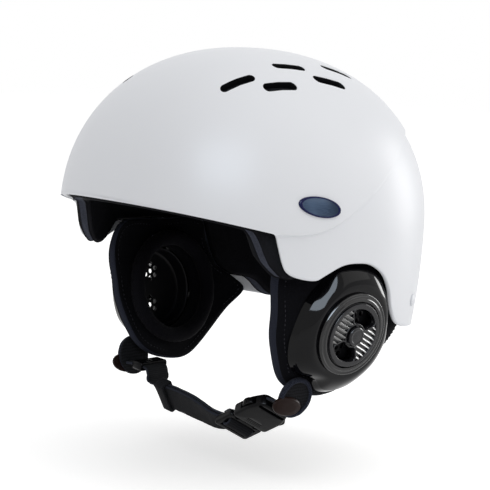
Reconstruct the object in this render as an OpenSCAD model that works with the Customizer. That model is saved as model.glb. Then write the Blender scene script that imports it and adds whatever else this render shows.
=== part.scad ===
// Water sports helmet: a white shell with a raised cap, foam liner, padded ear flaps with
// glossy covers and turning vent dials, and a chin strap with a side release buckle.
// The wearer faces -Y, the wearer's left is +X, and the widest level of the shell is Z = 0.

/* [Shell] */
// Width over the shell
shell_w = 212; // [204:1:222]
// Length over the shell
shell_l = 236; // [228:1:248]
// How far the shell's plan is drawn out towards the back
egg = 6; // [2:0.5:10]
// Height of the crown above the widest level
crown_h = 109.5; // [104:0.5:116]
// Squareness of the shell seen from above, where 2 is an ellipse
plan_power = 2.4; // [2.1:0.05:2.7]
// Squareness of the shell seen from the side, where 2 is an ellipse
rise_power = 2.15; // [2:0.05:2.4]
// Share by which the sides draw in at the tuck depth
tuck_side = 0.016; // [0:0.002:0.04]
// Share by which the back draws in at the tuck depth
tuck_rear = 0.172; // [0.1:0.01:0.22]
// Depth below the widest level at which the shares of tuck are given
tuck_depth = 95; // [85:1:105]
// Wall of the shell below the raised cap
shell_wall = 2.6; // [2:0.1:3.4]
// How far the raised cap stands out over the lower band
cap_step = 1.6; // [1:0.1:2.2]

/* [Opening] */
// Height of the brow edge at the front
brow_z = 16; // [12:0.5:22]
// Distance of the temple corner in front of the widest level
temple_front = 62.5; // [58:0.5:68]
// Height of the temple corner
temple_z = 3.7; // [1:0.1:8]
// Depth of the lobe in front of the ear, below the widest level
lobe_depth = 24.8; // [21:0.2:28]
// Depth of the nape edge below the widest level
nape_depth = 72; // [66:0.5:80]
// Gap from the ear cover's rim to the shell's arch over it
arch_gap = 3.5; // [2:0.1:6]

/* [Vents] */
// Length of a crown vent slot
vent_len = 23; // [18:0.5:28]
// Width of a crown vent slot
vent_w = 6; // [4.5:0.1:7.5]
// Step from one slot to the next, front to back
vent_pitch = 21.4; // [19:0.1:24]
// Slots on each side
vent_count = 5; // [3:1:5]
// Distance of the first slot in front of the widest level
vent_front = 53.6; // [48:0.2:58]
// Half distance between the inner rows of slots
vent_inner = 47.5; // [44:0.5:50]
// Half distance between the outer rows of slots
vent_outer = 62.3; // [59:0.5:66]
// Angle by which the slots open out towards the back
vent_toe = 13; // [5:1:20]

/* [Liner] */
// Thickness of the foam liner
liner_t = 12; // [9:0.5:14]
// Thickness of the comfort pads
pad_t = 4; // [3:0.5:6]
// Clearance between soft layers and what they lie against
soft_gap = 0.4; // [0.3:0.1:0.8]
// How far the liner shows past the shell's edge at the temple
liner_show = 4.5; // [3:0.5:6]
// Radius of the round pad under the crown
crown_pad_r = 40; // [30:1:50]
// Width of the brow pad
brow_pad_w = 128; // [100:2:140]
// Height of the brow pad
brow_pad_h = 28; // [20:1:32]
// Height of the brow pad's middle above the brow edge
brow_pad_up = 22; // [18:1:28]
// Width of the nape pad
nape_pad_w = 96; // [80:2:110]
// Height of the nape pad
nape_pad_h = 42; // [30:1:46]
// Height of the nape pad's middle above the nape edge
nape_pad_up = 46; // [40:1:54]
// Radius of a side pad
side_pad_r = 26; // [20:1:30]
// Distance of a side pad's middle behind the widest level
side_pad_back = 8; // [0:1:20]

/* [Ear cover] */
// Distance of the dial's seat inside the shell's widest side
ear_in = 9.1; // [7:0.1:12]
// Distance of the dial's axis behind the widest level
ear_y = 4.3; // [2:0.1:8]
// Depth of the dial's axis below the widest level
ear_depth = 60.7; // [58:0.1:64]
// Angle by which the dial faces downwards
ear_tilt = 11; // [7:0.5:15]
// Angle by which the dial faces forwards
ear_toe = 3.6; // [0:0.2:6]
// Height of the dial's seat over the flap's outer face
cover_h = 12; // [10:0.5:14]
// Wall of the ear cover
cover_wall = 2.4; // [1.8:0.1:3]
// Radius of the flat seat under the bezel
seat_r = 29; // [28:0.2:31]

/* [Vent dial] */
// Radius of the turning disc
dial_r = 20.8; // [20:0.1:22]
// Thickness of the turning disc
dial_t = 2; // [1.6:0.1:2.6]
// Width of the bezel ring round the disc
bezel_w = 5.4; // [4:0.1:6]
// Height of the bezel ring
bezel_h = 3; // [2.4:0.1:4]
// Radius of the inner edge of a listening port
port_in = 7.8; // [7.6:0.1:8.6]
// Radius of the outer edge of a listening port
port_out = 17.2; // [15:0.1:17.6]
// Angle that a port takes up round the dial
port_span = 86; // [60:1:88]
// Radius of a port's corners
port_corner = 2.4; // [1:0.1:3]
// Direction of the ports on the left dial
port_turn_left = 152; // [90:1:180]
// Direction of the ports on the right dial
port_turn_right = 172; // [90:1:180]
// Width of the dial's raised rim
dial_rim = 3.2; // [2:0.1:3.6]
// Step between the dial's edge and its raised rim
rim_inset = 0.4; // [0.2:0.1:0.6]
// Width of the raised ring round a port
port_rim = 1; // [0.8:0.1:1.4]
// Slats in each field between the ports
slat_count = 8; // [6:1:9]
// Spacing of the slats beside the ports
slat_pitch = 3; // [2.6:0.1:4]
// Width of a slat
slat_w = 1.5; // [1:0.1:2]
// Height of a slat over the disc
slat_h = 1.4; // [0.8:0.1:2]
// Radius of the hub pin
pin_r = 3; // [2.5:0.1:3.5]
// Radius of the hub cap
hub_r = 6; // [5:0.1:7]
// Thickness of the hub cap
hub_t = 2.2; // [1.6:0.1:3]
// Running clearance of the disc on its pin
pin_play = 0.05; // [0.02:0.01:0.1]
// Gap round the turning disc
dial_gap = 0.4; // [0.3:0.05:0.6]

/* [Ear flap] */
// Thickness of the ear flap
flap_t = 10; // [8:0.5:12]
// Radius of the opening for the ear
ear_hole_r = 28; // [26:0.5:30]
// How far the flap's top reaches above the dial's axis
flap_reach = 50.4; // [49.8:0.1:51.5]
// How far the flap curls towards the head, 20 mm outside the curl radius
flap_curl = 4; // [2:0.5:6]
// Distance from the dial's axis at which the curl starts
curl_r = 38; // [36:0.5:40]
// How far the flap's thin edge lies below the middle of its thickness
edge_drop = 3; // [0:0.5:4]
// Wall of the ear cup
cup_wall = 2; // [1.6:0.1:2.6]
// Depth of the cup's floor below the dial's seat
cup_depth = 15.4; // [14:0.2:17]
// Radius of a sound hole in the cup's floor
sound_r = 1.5; // [1.2:0.1:1.8]
// Radius of the padded ring's tube
ring_tube = 5.2; // [4.5:0.1:6]

/* [Fasteners and badge] */
// Radius of a shell rivet's head
rivet_r = 3.9; // [3:0.1:5]
// Depth of the rivets below the widest level
rivet_depth = 46; // [44:0.5:50]
// Turn of the rivets from the front
rivet_turn = 122; // [118:0.5:126]
// Length of the oval badge
badge_l = 30; // [24:0.5:36]
// Height of the oval badge
badge_h = 12; // [9:0.5:15]
// Thickness of the oval badge
badge_t = 1.2; // [0.8:0.1:2]
// Distance of the badge's centre in front of the widest level
badge_front = 34; // [30:1:38]
// Height of the badge's centre
badge_z = 19.4; // [18:0.2:24]
// Angle by which the badge's rear end hangs down
badge_lean = 10; // [5:1:15]

/* [Chin strap] */
// Radius of the round strap tab
tab_r = 13; // [11:0.2:14]
// Thickness of the strap tab
tab_t = 3; // [2.4:0.1:4]
// Distance of the tab below the dial's axis
tab_down = 43.5; // [42.5:0.1:45]
// Distance of the tab in front of the dial's axis
tab_front = 26.7; // [25:0.1:28]
// Width of the webbing
web_w = 19; // [16:0.5:20]
// Thickness of the webbing
web_t = 1.8; // [1.4:0.1:2.2]
// Clearance of the webbing in the fittings that it runs through
web_gap = 0.4; // [0.3:0.05:0.6]
// Length of the slide on the webbing
adjuster_l = 9; // [7.5:0.5:10]
// Wall of the slide and the keeper round the webbing
loop_wall = 1.6; // [1.2:0.1:2]
// Length of the keeper that holds the webbing's loose end
keeper_l = 8; // [6:0.5:10]

/* [Buckle] */
// Distance of the ladder frame's outer end from the middle of the helmet
ladder_x = 20.5; // [18:0.5:23]
// Depth of the ladder frame's outer end below the widest level
ladder_depth = 132.5; // [129:0.5:136]
// Angle of the buckle's axis above level
buckle_rise = 29.5; // [27:0.5:31]
// Angle by which the buckle is rolled with its rear edge down
buckle_roll = 35; // [30:1:40]
// Width of the buckle's housing
buckle_w = 27; // [26:0.5:29]
// Length of the buckle's housing
housing_l = 28; // [27:0.5:30]
// Thickness of the buckle's housing
housing_t = 8.4; // [7.6:0.2:9.4]
// Wall of the buckle's housing over the prongs
housing_wall = 1.8; // [1.4:0.1:2.2]
// Thickness of the ladder frame
ladder_t = 4.6; // [4:0.1:5]
// Width of a bar of the ladder frame along the strap
ladder_bar = 3; // [2.4:0.1:3.4]
// Opening of a slot of the ladder frame along the strap
ladder_slot = 4.5; // [4.2:0.1:5]
// Gap between the ladder frame and the housing
buckle_gap = 1.5; // [1:0.1:2]
// Half distance between the prongs' arms
arm_in = 5.6; // [5:0.1:6]
// Width of a prong's arm
arm_w = 3; // [2.4:0.1:3.4]
// Length of a thumb pad
pad_l = 10; // [8:0.5:11]
// Distance of a thumb pad from the housing's mouth
pad_in_x = 10; // [9:0.5:11]
// Distance a thumb pad stands out of the housing
pad_proud = 2.2; // [1.5:0.1:3]
// Clearance between the buckle's sliding pieces
slide_gap = 0.4; // [0.3:0.05:0.6]

/* [Hidden] */
far = 200;
half_w = shell_w / 2;
half_l = shell_l / 2;
ear_x = half_w - ear_in;
shell_in = shell_wall + cap_step;
liner_out = shell_in + soft_gap;
liner_in = liner_out + liner_t;
pad_out = liner_in + soft_gap;
pad_in = pad_out + pad_t;
skirt_depth = nape_depth + 14;

// Signed power, which keeps the sign of the base
function spow(x, p) = sign(x) * pow(abs(x), p);
function lerp(a, b, s) = a + (b - a) * s;
function unit(p) = p / norm(p);
// Curve through points: cubic pieces whose slope at a point is half the step between its neighbours
function cubic(a, b, c, d, s) = 0.5 * (2 * b + (c - a) * s + (2 * a - 5 * b + 4 * c - d) * s * s
    + (3 * b - a - 3 * c + d) * s * s * s);
function loop_curve(p, n) = let (m = len(p))
    [for (i = [0 : m - 1], k = [0 : n - 1]) cubic(p[(i + m - 1) % m], p[i], p[(i + 1) % m], p[(i + 2) % m], k / n)];
function open_curve(p, n) = let (m = len(p)) concat(
    [for (i = [0 : m - 2], k = [0 : n - 1]) cubic(p[max(i - 1, 0)], p[i], p[i + 1], p[min(i + 2, m - 1)], k / n)],
    [p[m - 1]]);

// Point of the shell's surface, drawn in by inset, at turn u from the front and rise v from the crown
function dome_point(u, v, inset) = let (
    r = pow(sin(v), 2 / rise_power),
    s = spow(sin(u), 2 / plan_power),
    c = spow(cos(u), 2 / plan_power))
    [(half_w - inset) * s * r, (egg * c * c - (half_l - inset) * c) * r,
    (crown_h - inset) * pow(cos(v), 2 / rise_power)];
// The same below the widest level, at depth d
function skirt_point(u, d, inset) = let (
    k = pow(d / tuck_depth, 2),
    s = spow(sin(u), 2 / plan_power),
    c = spow(cos(u), 2 / plan_power))
    [(half_w - inset) * s * (1 - tuck_side * k),
    (egg * c * c - (half_l - inset) * c) * (1 - (c > 0 ? tuck_side : tuck_rear) * k), -d];
// Share of the way from the crown's axis to the widest outline at a point of the plan
function plan_share(x, y) = pow(pow(abs(x) / half_w, plan_power)
    + pow(abs(y - egg * pow(y / half_l, 2)) / half_l, plan_power), 1 / plan_power);
function dome_z(x, y) = crown_h * pow(1 - pow(plan_share(x, y), rise_power), 1 / rise_power);
// Direction straight out of a surface that a function gives at two parameters
function outward(a, b, c, d) = unit(cross(b - a, d - c));
function dome_normal(x, y) = outward([x - 1, y, dome_z(x - 1, y)], [x + 1, y, dome_z(x + 1, y)],
    [x, y - 1, dome_z(x, y - 1)], [x, y + 1, dome_z(x, y + 1)]);
function skirt_normal(u, d, inset) = outward(skirt_point(u, d + 1, inset), skirt_point(u, d - 1, inset),
    skirt_point(u + 1, d, inset), skirt_point(u - 1, d, inset));

// Turns the children's Z to a direction
module facing(n) {
    rotate([0, acos(n[2]), atan2(n[1], n[0])]) children();
}

// Closed solid of rings stacked from a top point to a bottom point, each ring with the same count of points
module ring_solid(top, rings, bottom) {
    n = len(rings[0]);
    m = len(rings);
    points = concat([top], [for (r = rings, p = r) p], [bottom]);
    last = len(points) - 1;
    polyhedron(points, concat(
        [for (i = [0 : n - 1]) [0, 1 + (i + 1) % n, 1 + i]],
        [for (j = [0 : m - 2], i = [0 : n - 1], h = [0, 1]) let (
            a = 1 + j * n + i, b = 1 + j * n + (i + 1) % n) h == 0 ? [a, b, b + n] : [a, b + n, a + n]],
        [for (i = [0 : n - 1]) [last, last - n + i, last - n + (i + 1) % n]]), 10);
}

// Closed solid of rings joined end to end round a hole
module torus_solid(rings) {
    n = len(rings[0]);
    m = len(rings);
    polyhedron([for (r = rings, p = r) p],
        [for (j = [0 : m - 1], i = [0 : n - 1], h = [0, 1]) let (
            a = j * n + i, b = j * n + (i + 1) % n, c = ((j + 1) % m) * n + (i + 1) % n, d = ((j + 1) % m) * n + i)
            h == 0 ? [a, b, c] : [a, c, d]], 10);
}

module dome_solid(inset, around = 48, up = 12, down = 4) {
    ring_solid([0, 0, crown_h - inset],
        concat([for (j = [1 : up]) [for (i = [0 : around - 1]) dome_point(360 * i / around, 90 * j / up, inset)]],
            [for (j = [1 : down])
                [for (i = [0 : around - 1]) skirt_point(360 * i / around, skirt_depth * j / down, inset)]]),
        [0, 0, -skirt_depth]);
}

// Stretches an outline of [back, up] points right across the helmet
module across(width = 2 * far) {
    rotate([90, 0, 90]) linear_extrude(width, center = true, convexity = 6) children();
}

// Lower edge of the shell from the temple corner to the foot behind the ear, as [back, up].
// The lobe hangs in front of the ear, and the arch is given by [angle, distance] from the dial's axis
lobe = [[-temple_front, temple_z], [5.3 - temple_front, -14.8], [10 - temple_front, 4 - lobe_depth],
    [20 - temple_front, 0.8 - lobe_depth], [29 - temple_front, -lobe_depth], [35 - temple_front, 2.5 - lobe_depth]];
arch = [for (p = [[112, 43.6], [95, 41], [79, 39.8], [60, 37.9], [42, 34.8], [23, 31.7], [6, 36]])
    [ear_y, -ear_depth] + (p[1] + arch_gap) * [cos(p[0]), sin(p[0])]];
foot = [ear_y + 49, -ear_depth];
edge_curve = open_curve(concat(lobe, arch, [foot]), 4);
brow_slope = (brow_z - temple_z) / (half_l - egg - temple_front);
edge_round = 2.5;
module below_edge() {
    offset(r = edge_round, $fn = 24) offset(delta = -edge_round)
        polygon(concat([[-far, brow_z + brow_slope * (far - half_l + egg)]], edge_curve,
            [[half_l + egg, -nape_depth], [far, -nape_depth], [far, -far], [-far, -far]]));
}

// Lower edge of the raised cap, which climbs from the temple and runs level round the back
cap_curve = open_curve([[-temple_front, temple_z - 0.4], [-40, temple_z - 0.5], [-18.7, 9], [2.2, 20], [19.5, 30.6],
    [32.3, 38.5], [58, 54], [84, 62], [half_l + egg, 65]], 4);
module cap_region() {
    polygon(concat([[-far, far], [-far, -far], [-temple_front - 1.5, -far]], cap_curve, [[far, 65], [far, far]]));
}

module vent_slot(x, y) {
    translate([x, y, dome_z(x, y)]) facing(dome_normal(x, y)) rotate([0, 0, -vent_toe - atan2(y, x)]) hull()
        for (s = [-1, 1]) translate([0, s * (vent_len - vent_w) / 2, -9]) cylinder(h = 18, d = vent_w, $fn = 20);
}

module vents() {
    for (k = [0 : vent_count - 1])
        vent_slot(k % 2 == 0 ? vent_inner : vent_outer, k * vent_pitch - vent_front);
}

module outer_shell() {
    color("white") difference() {
        union() {
            intersection() {
                dome_solid(0, 64, 16, 4);
                across() cap_region();
            }
            dome_solid(cap_step, 64, 16, 4);
        }
        dome_solid(shell_in, 48, 12, 4);
        across() below_edge();
        vents();
        mirror([1, 0, 0]) vents();
    }
}

// Lower edge of the liner: past the shell at the temple, up over the flap and down again behind it.
// The dip at the temple is given as shares of the lobe's depth, the drop behind the flap as shares of its reach
liner_low = flap_reach - ear_depth;
temple_dip = [[0.214, 0.524], [0.565, 0.919], [0.806, 0.96], [1.048, 0.879]];
rear_drop = [[0.83, 0], [0.99, 0.59], [1.145, 0.81], [1.5, 0.87]];
module liner_region() {
    front = -temple_front - liner_show;
    back = half_l + egg;
    polygon(concat([[-far, brow_z + 1 + brow_slope * (far - half_l + egg)], [front, temple_z + 1]],
        [for (p = temple_dip) [front + p[0] * lobe_depth, -p[1] * lobe_depth]],
        [[front + 1.17 * lobe_depth, liner_low]],
        [for (p = rear_drop) [ear_y + p[0] * flap_reach, liner_low - p[1] * flap_reach]],
        [[back - 38, 6 - nape_depth], [far, 3 - nape_depth], [far, far], [-far, far]]));
}

module foam_liner() {
    color("#26282c") intersection() {
        difference() {
            dome_solid(liner_out, 48, 12, 4);
            dome_solid(liner_in, 40, 10, 4);
        }
        across() liner_region();
    }
}

// Comfort pad inside the liner, cut out of the pad layer by the children
module comfort_pad(around = 40) {
    color("#1d1e22") intersection() {
        difference() {
            dome_solid(pad_out, around, 10, 3);
            dome_solid(pad_in, around, 8, 3);
        }
        children();
    }
}

module brow_pad() {
    comfort_pad() translate([0, -far / 2, brow_z + brow_pad_up])
        cube([brow_pad_w, far, brow_pad_h], center = true);
}

module crown_pad() {
    comfort_pad() cylinder(h = far, r = crown_pad_r, $fn = 40);
}

module nape_pad() {
    comfort_pad() translate([0, far / 2, nape_pad_up - nape_depth])
        cube([nape_pad_w, far, nape_pad_h], center = true);
}

module side_pad() {
    comfort_pad() translate([far / 2, side_pad_back, side_pad_r]) rotate([0, 90, 0])
        cylinder(h = far, r = side_pad_r, center = true, $fn = 36);
}

module left_side_pad() {
    side_pad();
}

module right_side_pad() {
    mirror([1, 0, 0]) side_pad();
}

// Ear parts are drawn with the dial's axis as Z and its seat at zero, X down the helmet and Y to the back
module at_ear() {
    translate([ear_x, ear_y, -ear_depth]) rotate([0, 90 + ear_tilt, -ear_toe]) children();
}

function curl(p) = -flap_curl * pow(max(0, norm(p) - curl_r) / 20, 2);

// Outline of the flap and of the cover, as [down, back] from the dial's axis
flap_outline = loop_curve([[-45, -34], [-30, -48.5], [-8, -47.2], [6, -45.5], [20, -40.5], [31, -35], [38, -29],
    [43.6, -20], [47.3, -8], [48.8, 4], [46.8, 14], [41.5, 24], [33, 36], [20, 52], [8, 66.5], [-2, 60], [-12, 48],
    [-28, 40.5], [-45, 34], [-46.5, 0]], 3);
cover_outline = loop_curve([[-43.5, -10], [-30.5, -22], [-23.5, -28.5], [-14, -33.8], [0, -37.8], [10, -38.5],
    [20, -36], [28, -28.5], [33, -16], [41, -9], [43.5, 0], [43, 8], [40.5, 17], [34, 28], [26, 36], [12, 41.5],
    [-2, 39], [-16.5, 37.5], [-30.5, 30.5], [-43, 17]], 3);

module ear_flap() {
    sides = 12;
    color("#202226") at_ear() torus_solid([for (p = flap_outline) let (
        inner = ear_hole_r * unit(p))
        [for (k = [0 : sides - 1]) let (
            a = 360 * k / sides,
            share = 0.5 + 0.5 * spow(cos(a), 0.55),
            q = lerp(inner, p, share),
            lift = flap_t / 2 * spow(sin(a), 0.6) - edge_drop * pow(share, 4))
            [q[0], q[1], lift - cover_h - soft_gap - flap_t / 2 + curl(q)]]]);
}

module left_ear_flap() {
    ear_flap();
}

module right_ear_flap() {
    mirror([1, 0, 0]) ear_flap();
}

// One skin of the cover: rings that climb from the rim to the flat seat
function cover_rings(drop, seat, steps) = [for (j = [0 : steps]) let (
    s = j / steps)
    [for (p = cover_outline) let (
        rim = p - drop * unit(p),
        q = lerp(rim, seat * unit(p), s),
        low = curl(p) - cover_h)
        [q[0], q[1], lerp(low, -drop, pow(sin(90 * s), 0.85))]]];

module ear_cover(port_turn) {
    steps = 6;
    outer = cover_rings(0, seat_r, steps);
    inner = cover_rings(cover_wall, seat_r - 0.4, steps);
    n = len(cover_outline);
    rows = concat(outer, [for (j = [steps : -1 : 0]) inner[j]]);
    points = concat([[0, 0, 0]], [for (j = [steps : -1 : 0], p = outer[j]) p],
        [for (j = [0 : steps], p = inner[j]) p], [[0, 0, -cover_wall]]);
    m = 2 * steps + 2;
    last = len(points) - 1;
    color("#0b0b0d") at_ear() difference() {
        polyhedron(points, concat(
            [for (i = [0 : n - 1]) [0, 1 + i, 1 + (i + 1) % n]],
            [for (j = [0 : m - 2], i = [0 : n - 1], h = [0, 1]) let (
                a = 1 + j * n + i, b = 1 + j * n + (i + 1) % n) h == 0 ? [a, b + n, b] : [a, a + n, b + n]],
            [for (i = [0 : n - 1]) [last, last - n + (i + 1) % n, last - n + i]]), 10);
        translate([0, 0, -cover_wall - 1]) linear_extrude(cover_wall + 2, convexity = 4) {
            port_outline(port_turn, 0);
            circle(r = pin_r, $fn = 64);
        }
    }
}

// The two ports as a flat outline grown by a margin: opposite sectors of a ring with rounded corners
module port_outline(port_turn, margin) {
    x = far * cos(port_span / 2);
    y = far * sin(port_span / 2);
    rotate(port_turn) offset(r = port_corner + margin, $fn = 24) offset(delta = -port_corner) difference() {
        intersection() {
            circle(r = port_out, $fn = 72);
            for (s = [0, 180]) rotate(s) polygon([[0, 0], [x, -y], [x, y]]);
        }
        circle(r = port_in, $fn = 48);
    }
}

module left_ear_cover() {
    ear_cover(port_turn_left);
}

module right_ear_cover() {
    mirror([1, 0, 0]) ear_cover(port_turn_right);
}

// Open cup behind the cover, with a perforated floor next to the ear
module ear_cup(port_turn) {
    r = ear_hole_r - 0.5;
    color("#17181b") at_ear() difference() {
        rotate_extrude($fn = 96) polygon([[0, -cup_depth], [r, -cup_depth], [r, -cover_wall], [r - cup_wall, -cover_wall],
            [r - cup_wall, cup_wall - cup_depth], [0, cup_wall - cup_depth]]);
        for (s = [0, 180]) rotate([0, 0, port_turn + s]) translate([(port_in + port_out) / 2 - 1, 0, -cup_depth - 1]) {
            cylinder(h = cup_wall + 2, r = sound_r, $fn = 20);
            for (k = [0 : 5]) rotate([0, 0, 60 * k]) translate([3.2 * sound_r, 0, 0])
                cylinder(h = cup_wall + 2, r = sound_r, $fn = 20);
        }
    }
}

module left_ear_cup() {
    ear_cup(port_turn_left);
}

module right_ear_cup() {
    mirror([1, 0, 0]) ear_cup(port_turn_right);
}

module ring_pad() {
    color("#1d1e22") at_ear() rotate_extrude($fn = 72)
        translate([ear_hole_r + ring_tube, -cover_h - soft_gap - flap_t - soft_gap - ring_tube])
            circle(r = ring_tube, $fn = 32);
}

module left_ring_pad() {
    ring_pad();
}

module right_ring_pad() {
    mirror([1, 0, 0]) ring_pad();
}

bezel_in = dial_r + dial_gap;
module vent_bezel() {
    color("#2a2c30") at_ear() rotate_extrude($fn = 120) polygon([[bezel_in, 0], [bezel_in + bezel_w, 0],
        [bezel_in + bezel_w, bezel_h - 1.6], [bezel_in + bezel_w - 1, bezel_h - 0.4], [bezel_in + bezel_w - 2, bezel_h],
        [bezel_in + 0.8, bezel_h], [bezel_in, bezel_h - 0.8]]);
}

module left_vent_bezel() {
    vent_bezel();
}

module right_vent_bezel() {
    mirror([1, 0, 0]) vent_bezel();
}

// Turning disc with two ports and slatted fields beside them
module vent_dial(port_turn) {
    top = dial_gap + dial_t;
    color("#34363a") at_ear() {
        translate([0, 0, dial_gap]) linear_extrude(dial_t, convexity = 4) difference() {
            circle(r = dial_r, $fn = 120);
            dial_holes(port_turn);
        }
        translate([0, 0, top - 0.2]) linear_extrude(slat_h + 0.2, convexity = 8) difference() {
            union() {
                difference() {
                    circle(r = dial_r - rim_inset, $fn = 120);
                    circle(r = dial_r - dial_rim, $fn = 120);
                }
                rotate(port_turn) intersection() {
                    circle(r = dial_r - dial_rim + 0.3, $fn = 120);
                    for (k = [0 : slat_count - 1])
                        translate([(k - slat_count / 2 + 0.5) * slat_pitch - slat_w / 2, -dial_r])
                            square([slat_w, 2 * dial_r]);
                }
                port_outline(port_turn, port_rim);
                circle(r = port_in, $fn = 48);
            }
            dial_holes(port_turn);
        }
    }
}

// The two ports and the pin's bore, as flat outlines
module dial_holes(port_turn) {
    port_outline(port_turn, 0);
    circle(r = pin_r + pin_play, $fn = 48);
}

module left_vent_dial() {
    vent_dial(port_turn_left);
}

module right_vent_dial() {
    mirror([1, 0, 0]) vent_dial(port_turn_right);
}

// Hub pin pressed into the cover, with a cap that keeps the disc on
hub_z = dial_gap + dial_t + slat_h + dial_gap;
module hub_pin() {
    color("#3c3e43") at_ear() rotate_extrude($fn = 64) polygon([[0, -cover_wall - 1], [pin_r, -cover_wall - 1],
        [pin_r, hub_z], [hub_r, hub_z], [hub_r, hub_z + hub_t - 1], [hub_r - 1, hub_z + hub_t], [0, hub_z + hub_t]]);
}

module left_hub_pin() {
    hub_pin();
}

module right_hub_pin() {
    mirror([1, 0, 0]) hub_pin();
}

// Sideways place of the cap's surface at a distance back and a height
function side_x(y, z, inset) = let (
    r = pow(1 - pow(abs(z) / (crown_h - inset), rise_power), 1 / rise_power),
    c = (y / r - egg * pow(y / r / half_l, 2)) / (half_l - inset))
    (half_w - inset) * r * pow(1 - pow(abs(c), plan_power), 1 / plan_power);

// Bare oval badge that follows the cap above the temple, with a rounded edge
function badge_ring(share, inset) = [for (a = [0 : 12 : 348]) let (
    back = share * badge_l / 2 * cos(a),
    up = share * badge_h / 2 * sin(a),
    y = back * cos(badge_lean) + up * sin(badge_lean) - badge_front,
    z = badge_z - back * sin(badge_lean) + up * cos(badge_lean))
    [side_x(y, z, inset), y, z]];
module badge() {
    color("#8fa3bf") ring_solid([side_x(-badge_front, badge_z, -badge_t), -badge_front, badge_z],
        [badge_ring(0.5, -badge_t), badge_ring(0.9, -badge_t), badge_ring(1, 0.3 - badge_t), badge_ring(1, -0.1),
        badge_ring(0.6, -0.1)], [side_x(-badge_front, badge_z, -0.1), -badge_front, badge_z]);
}

module left_badge() {
    badge();
}

module right_badge() {
    mirror([1, 0, 0]) badge();
}

// Rivets that hold the flaps' rear tails, one each side behind the ear
module rivet() {
    translate(skirt_point(rivet_turn, rivet_depth, cap_step)) facing(skirt_normal(rivet_turn, rivet_depth, cap_step))
        translate([0, 0, 0.1]) rotate_extrude($fn = 40) polygon([[0, 0], [rivet_r, 0], [rivet_r, 0.6],
            [rivet_r - 0.8, 1.3], [0, 1.6]]);
}

module shell_rivets() {
    color("#eceeef") union() {
        rivet();
        mirror([1, 0, 0]) rivet();
    }
}

// Round tab with a raised rim, sewn to the lower front corner of the flap
module strap_tab() {
    color("#26282c") at_ear() translate([tab_down, -tab_front, -cover_h]) rotate_extrude($fn = 64)
        polygon([[0, 0], [tab_r, 0], [tab_r, tab_t], [tab_r - 1, tab_t + 0.8], [tab_r - 2.4, tab_t], [tab_r - 3, tab_t - 1],
            [0, tab_t - 1]]);
}

module left_strap_tab() {
    strap_tab();
}

module right_strap_tab() {
    mirror([1, 0, 0]) strap_tab();
}

// World place of a point given in the ear's own directions
function ear_point(p) = let (
    turn = 90 + ear_tilt,
    out = p[0] * cos(turn) + p[2] * sin(turn),
    up = p[2] * cos(turn) - p[0] * sin(turn))
    [ear_x + out * cos(ear_toe) + p[1] * sin(ear_toe), ear_y - out * sin(ear_toe) + p[1] * cos(ear_toe), up - ear_depth];
strap_y = ear_point([tab_down, -tab_front, -cover_h])[1];

// The buckle is drawn with its axis as X from the ladder frame to the housing, Y across and Z to the chin
module at_buckle() {
    translate([ladder_x, strap_y, -ladder_depth]) rotate([-buckle_roll, -buckle_rise, 0]) children();
}

module slab(h) {
    translate([0, 0, -h / 2]) linear_extrude(h, convexity = 6) children();
}

frame_l = 3 * ladder_bar + 2 * ladder_slot;
housing_x = frame_l + buckle_gap;
arm_out = arm_in + arm_w;
cavity_w = 2 * (arm_out + 2 * slide_gap);
cavity_h = housing_t - 2 * housing_wall;
pad_x = housing_x + pad_in_x;
prong_end = pad_x + pad_l;
pad_out_y = buckle_w / 2 + pad_proud;
press_room = 1.4;
nose_l = 11;
nose_in = 4;
housing_round = 3;
frame_round = 2;
spine_w = 3.2;
spine_l = housing_l - 8;

module buckle_housing() {
    end_x = housing_x + housing_l;
    color("#1b1c1f") at_buckle() difference() {
        slab(housing_t) difference() {
            offset(r = housing_round, $fn = 40) offset(delta = -housing_round)
                polygon([[housing_x, -buckle_w / 2], [end_x - nose_l, -buckle_w / 2], [end_x, nose_in - buckle_w / 2],
                    [end_x, buckle_w / 2 - nose_in], [end_x - nose_l, buckle_w / 2], [housing_x, buckle_w / 2]]);
            translate([end_x - ladder_bar - web_t - 2 * web_gap, -web_w / 2 - web_gap])
                square([web_t + 2 * web_gap, web_w + 2 * web_gap]);
        }
        translate([housing_x - 1, -cavity_w / 2, -cavity_h / 2])
            cube([prong_end + press_room + 2 - housing_x, cavity_w, cavity_h]);
        translate([pad_x - slide_gap - 1, -buckle_w, -cavity_h / 2])
            cube([pad_l + 2 * slide_gap + 1 + press_room, 2 * buckle_w, cavity_h]);
    }
}

module buckle_tongue() {
    color("#1b1c1f") at_buckle() union() {
        slab(ladder_t) difference() {
            offset(r = frame_round, $fn = 32) offset(delta = -frame_round) translate([0, 0.5 - buckle_w / 2])
                square([frame_l, buckle_w - 1]);
            for (k = [0, 1]) translate([ladder_bar + k * (ladder_bar + ladder_slot), -web_w / 2 - web_gap])
                square([ladder_slot, web_w + 2 * web_gap]);
            for (s = [-1, 1]) translate([frame_l, s * (arm_in + arm_w / 2)])
                circle(r = arm_w / 2 + slide_gap, $fn = 40);
        }
        slab(cavity_h - 3 * slide_gap) translate([frame_l - 1, -spine_w / 2]) square([spine_l, spine_w]);
    }
}

// Springy arm with a thumb pad, drawn on the +Y side
module prong() {
    color("#232428") slab(cavity_h - 2 * slide_gap) union() {
        translate([frame_l, arm_in + arm_w / 2]) circle(r = arm_w / 2, $fn = 40);
        polygon([[frame_l, arm_in], [prong_end - 1, arm_in], [prong_end, arm_in + 1.5], [prong_end, pad_out_y - 2],
            [prong_end - 3, pad_out_y], [pad_x + 4, pad_out_y], [pad_x + 1, pad_out_y - 1.5], [pad_x, arm_out + 1],
            [pad_x - 1, arm_out], [frame_l, arm_out]]);
    }
}

module front_prong() {
    at_buckle() mirror([0, 1, 0]) prong();
}

module rear_prong() {
    at_buckle() prong();
}

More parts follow.
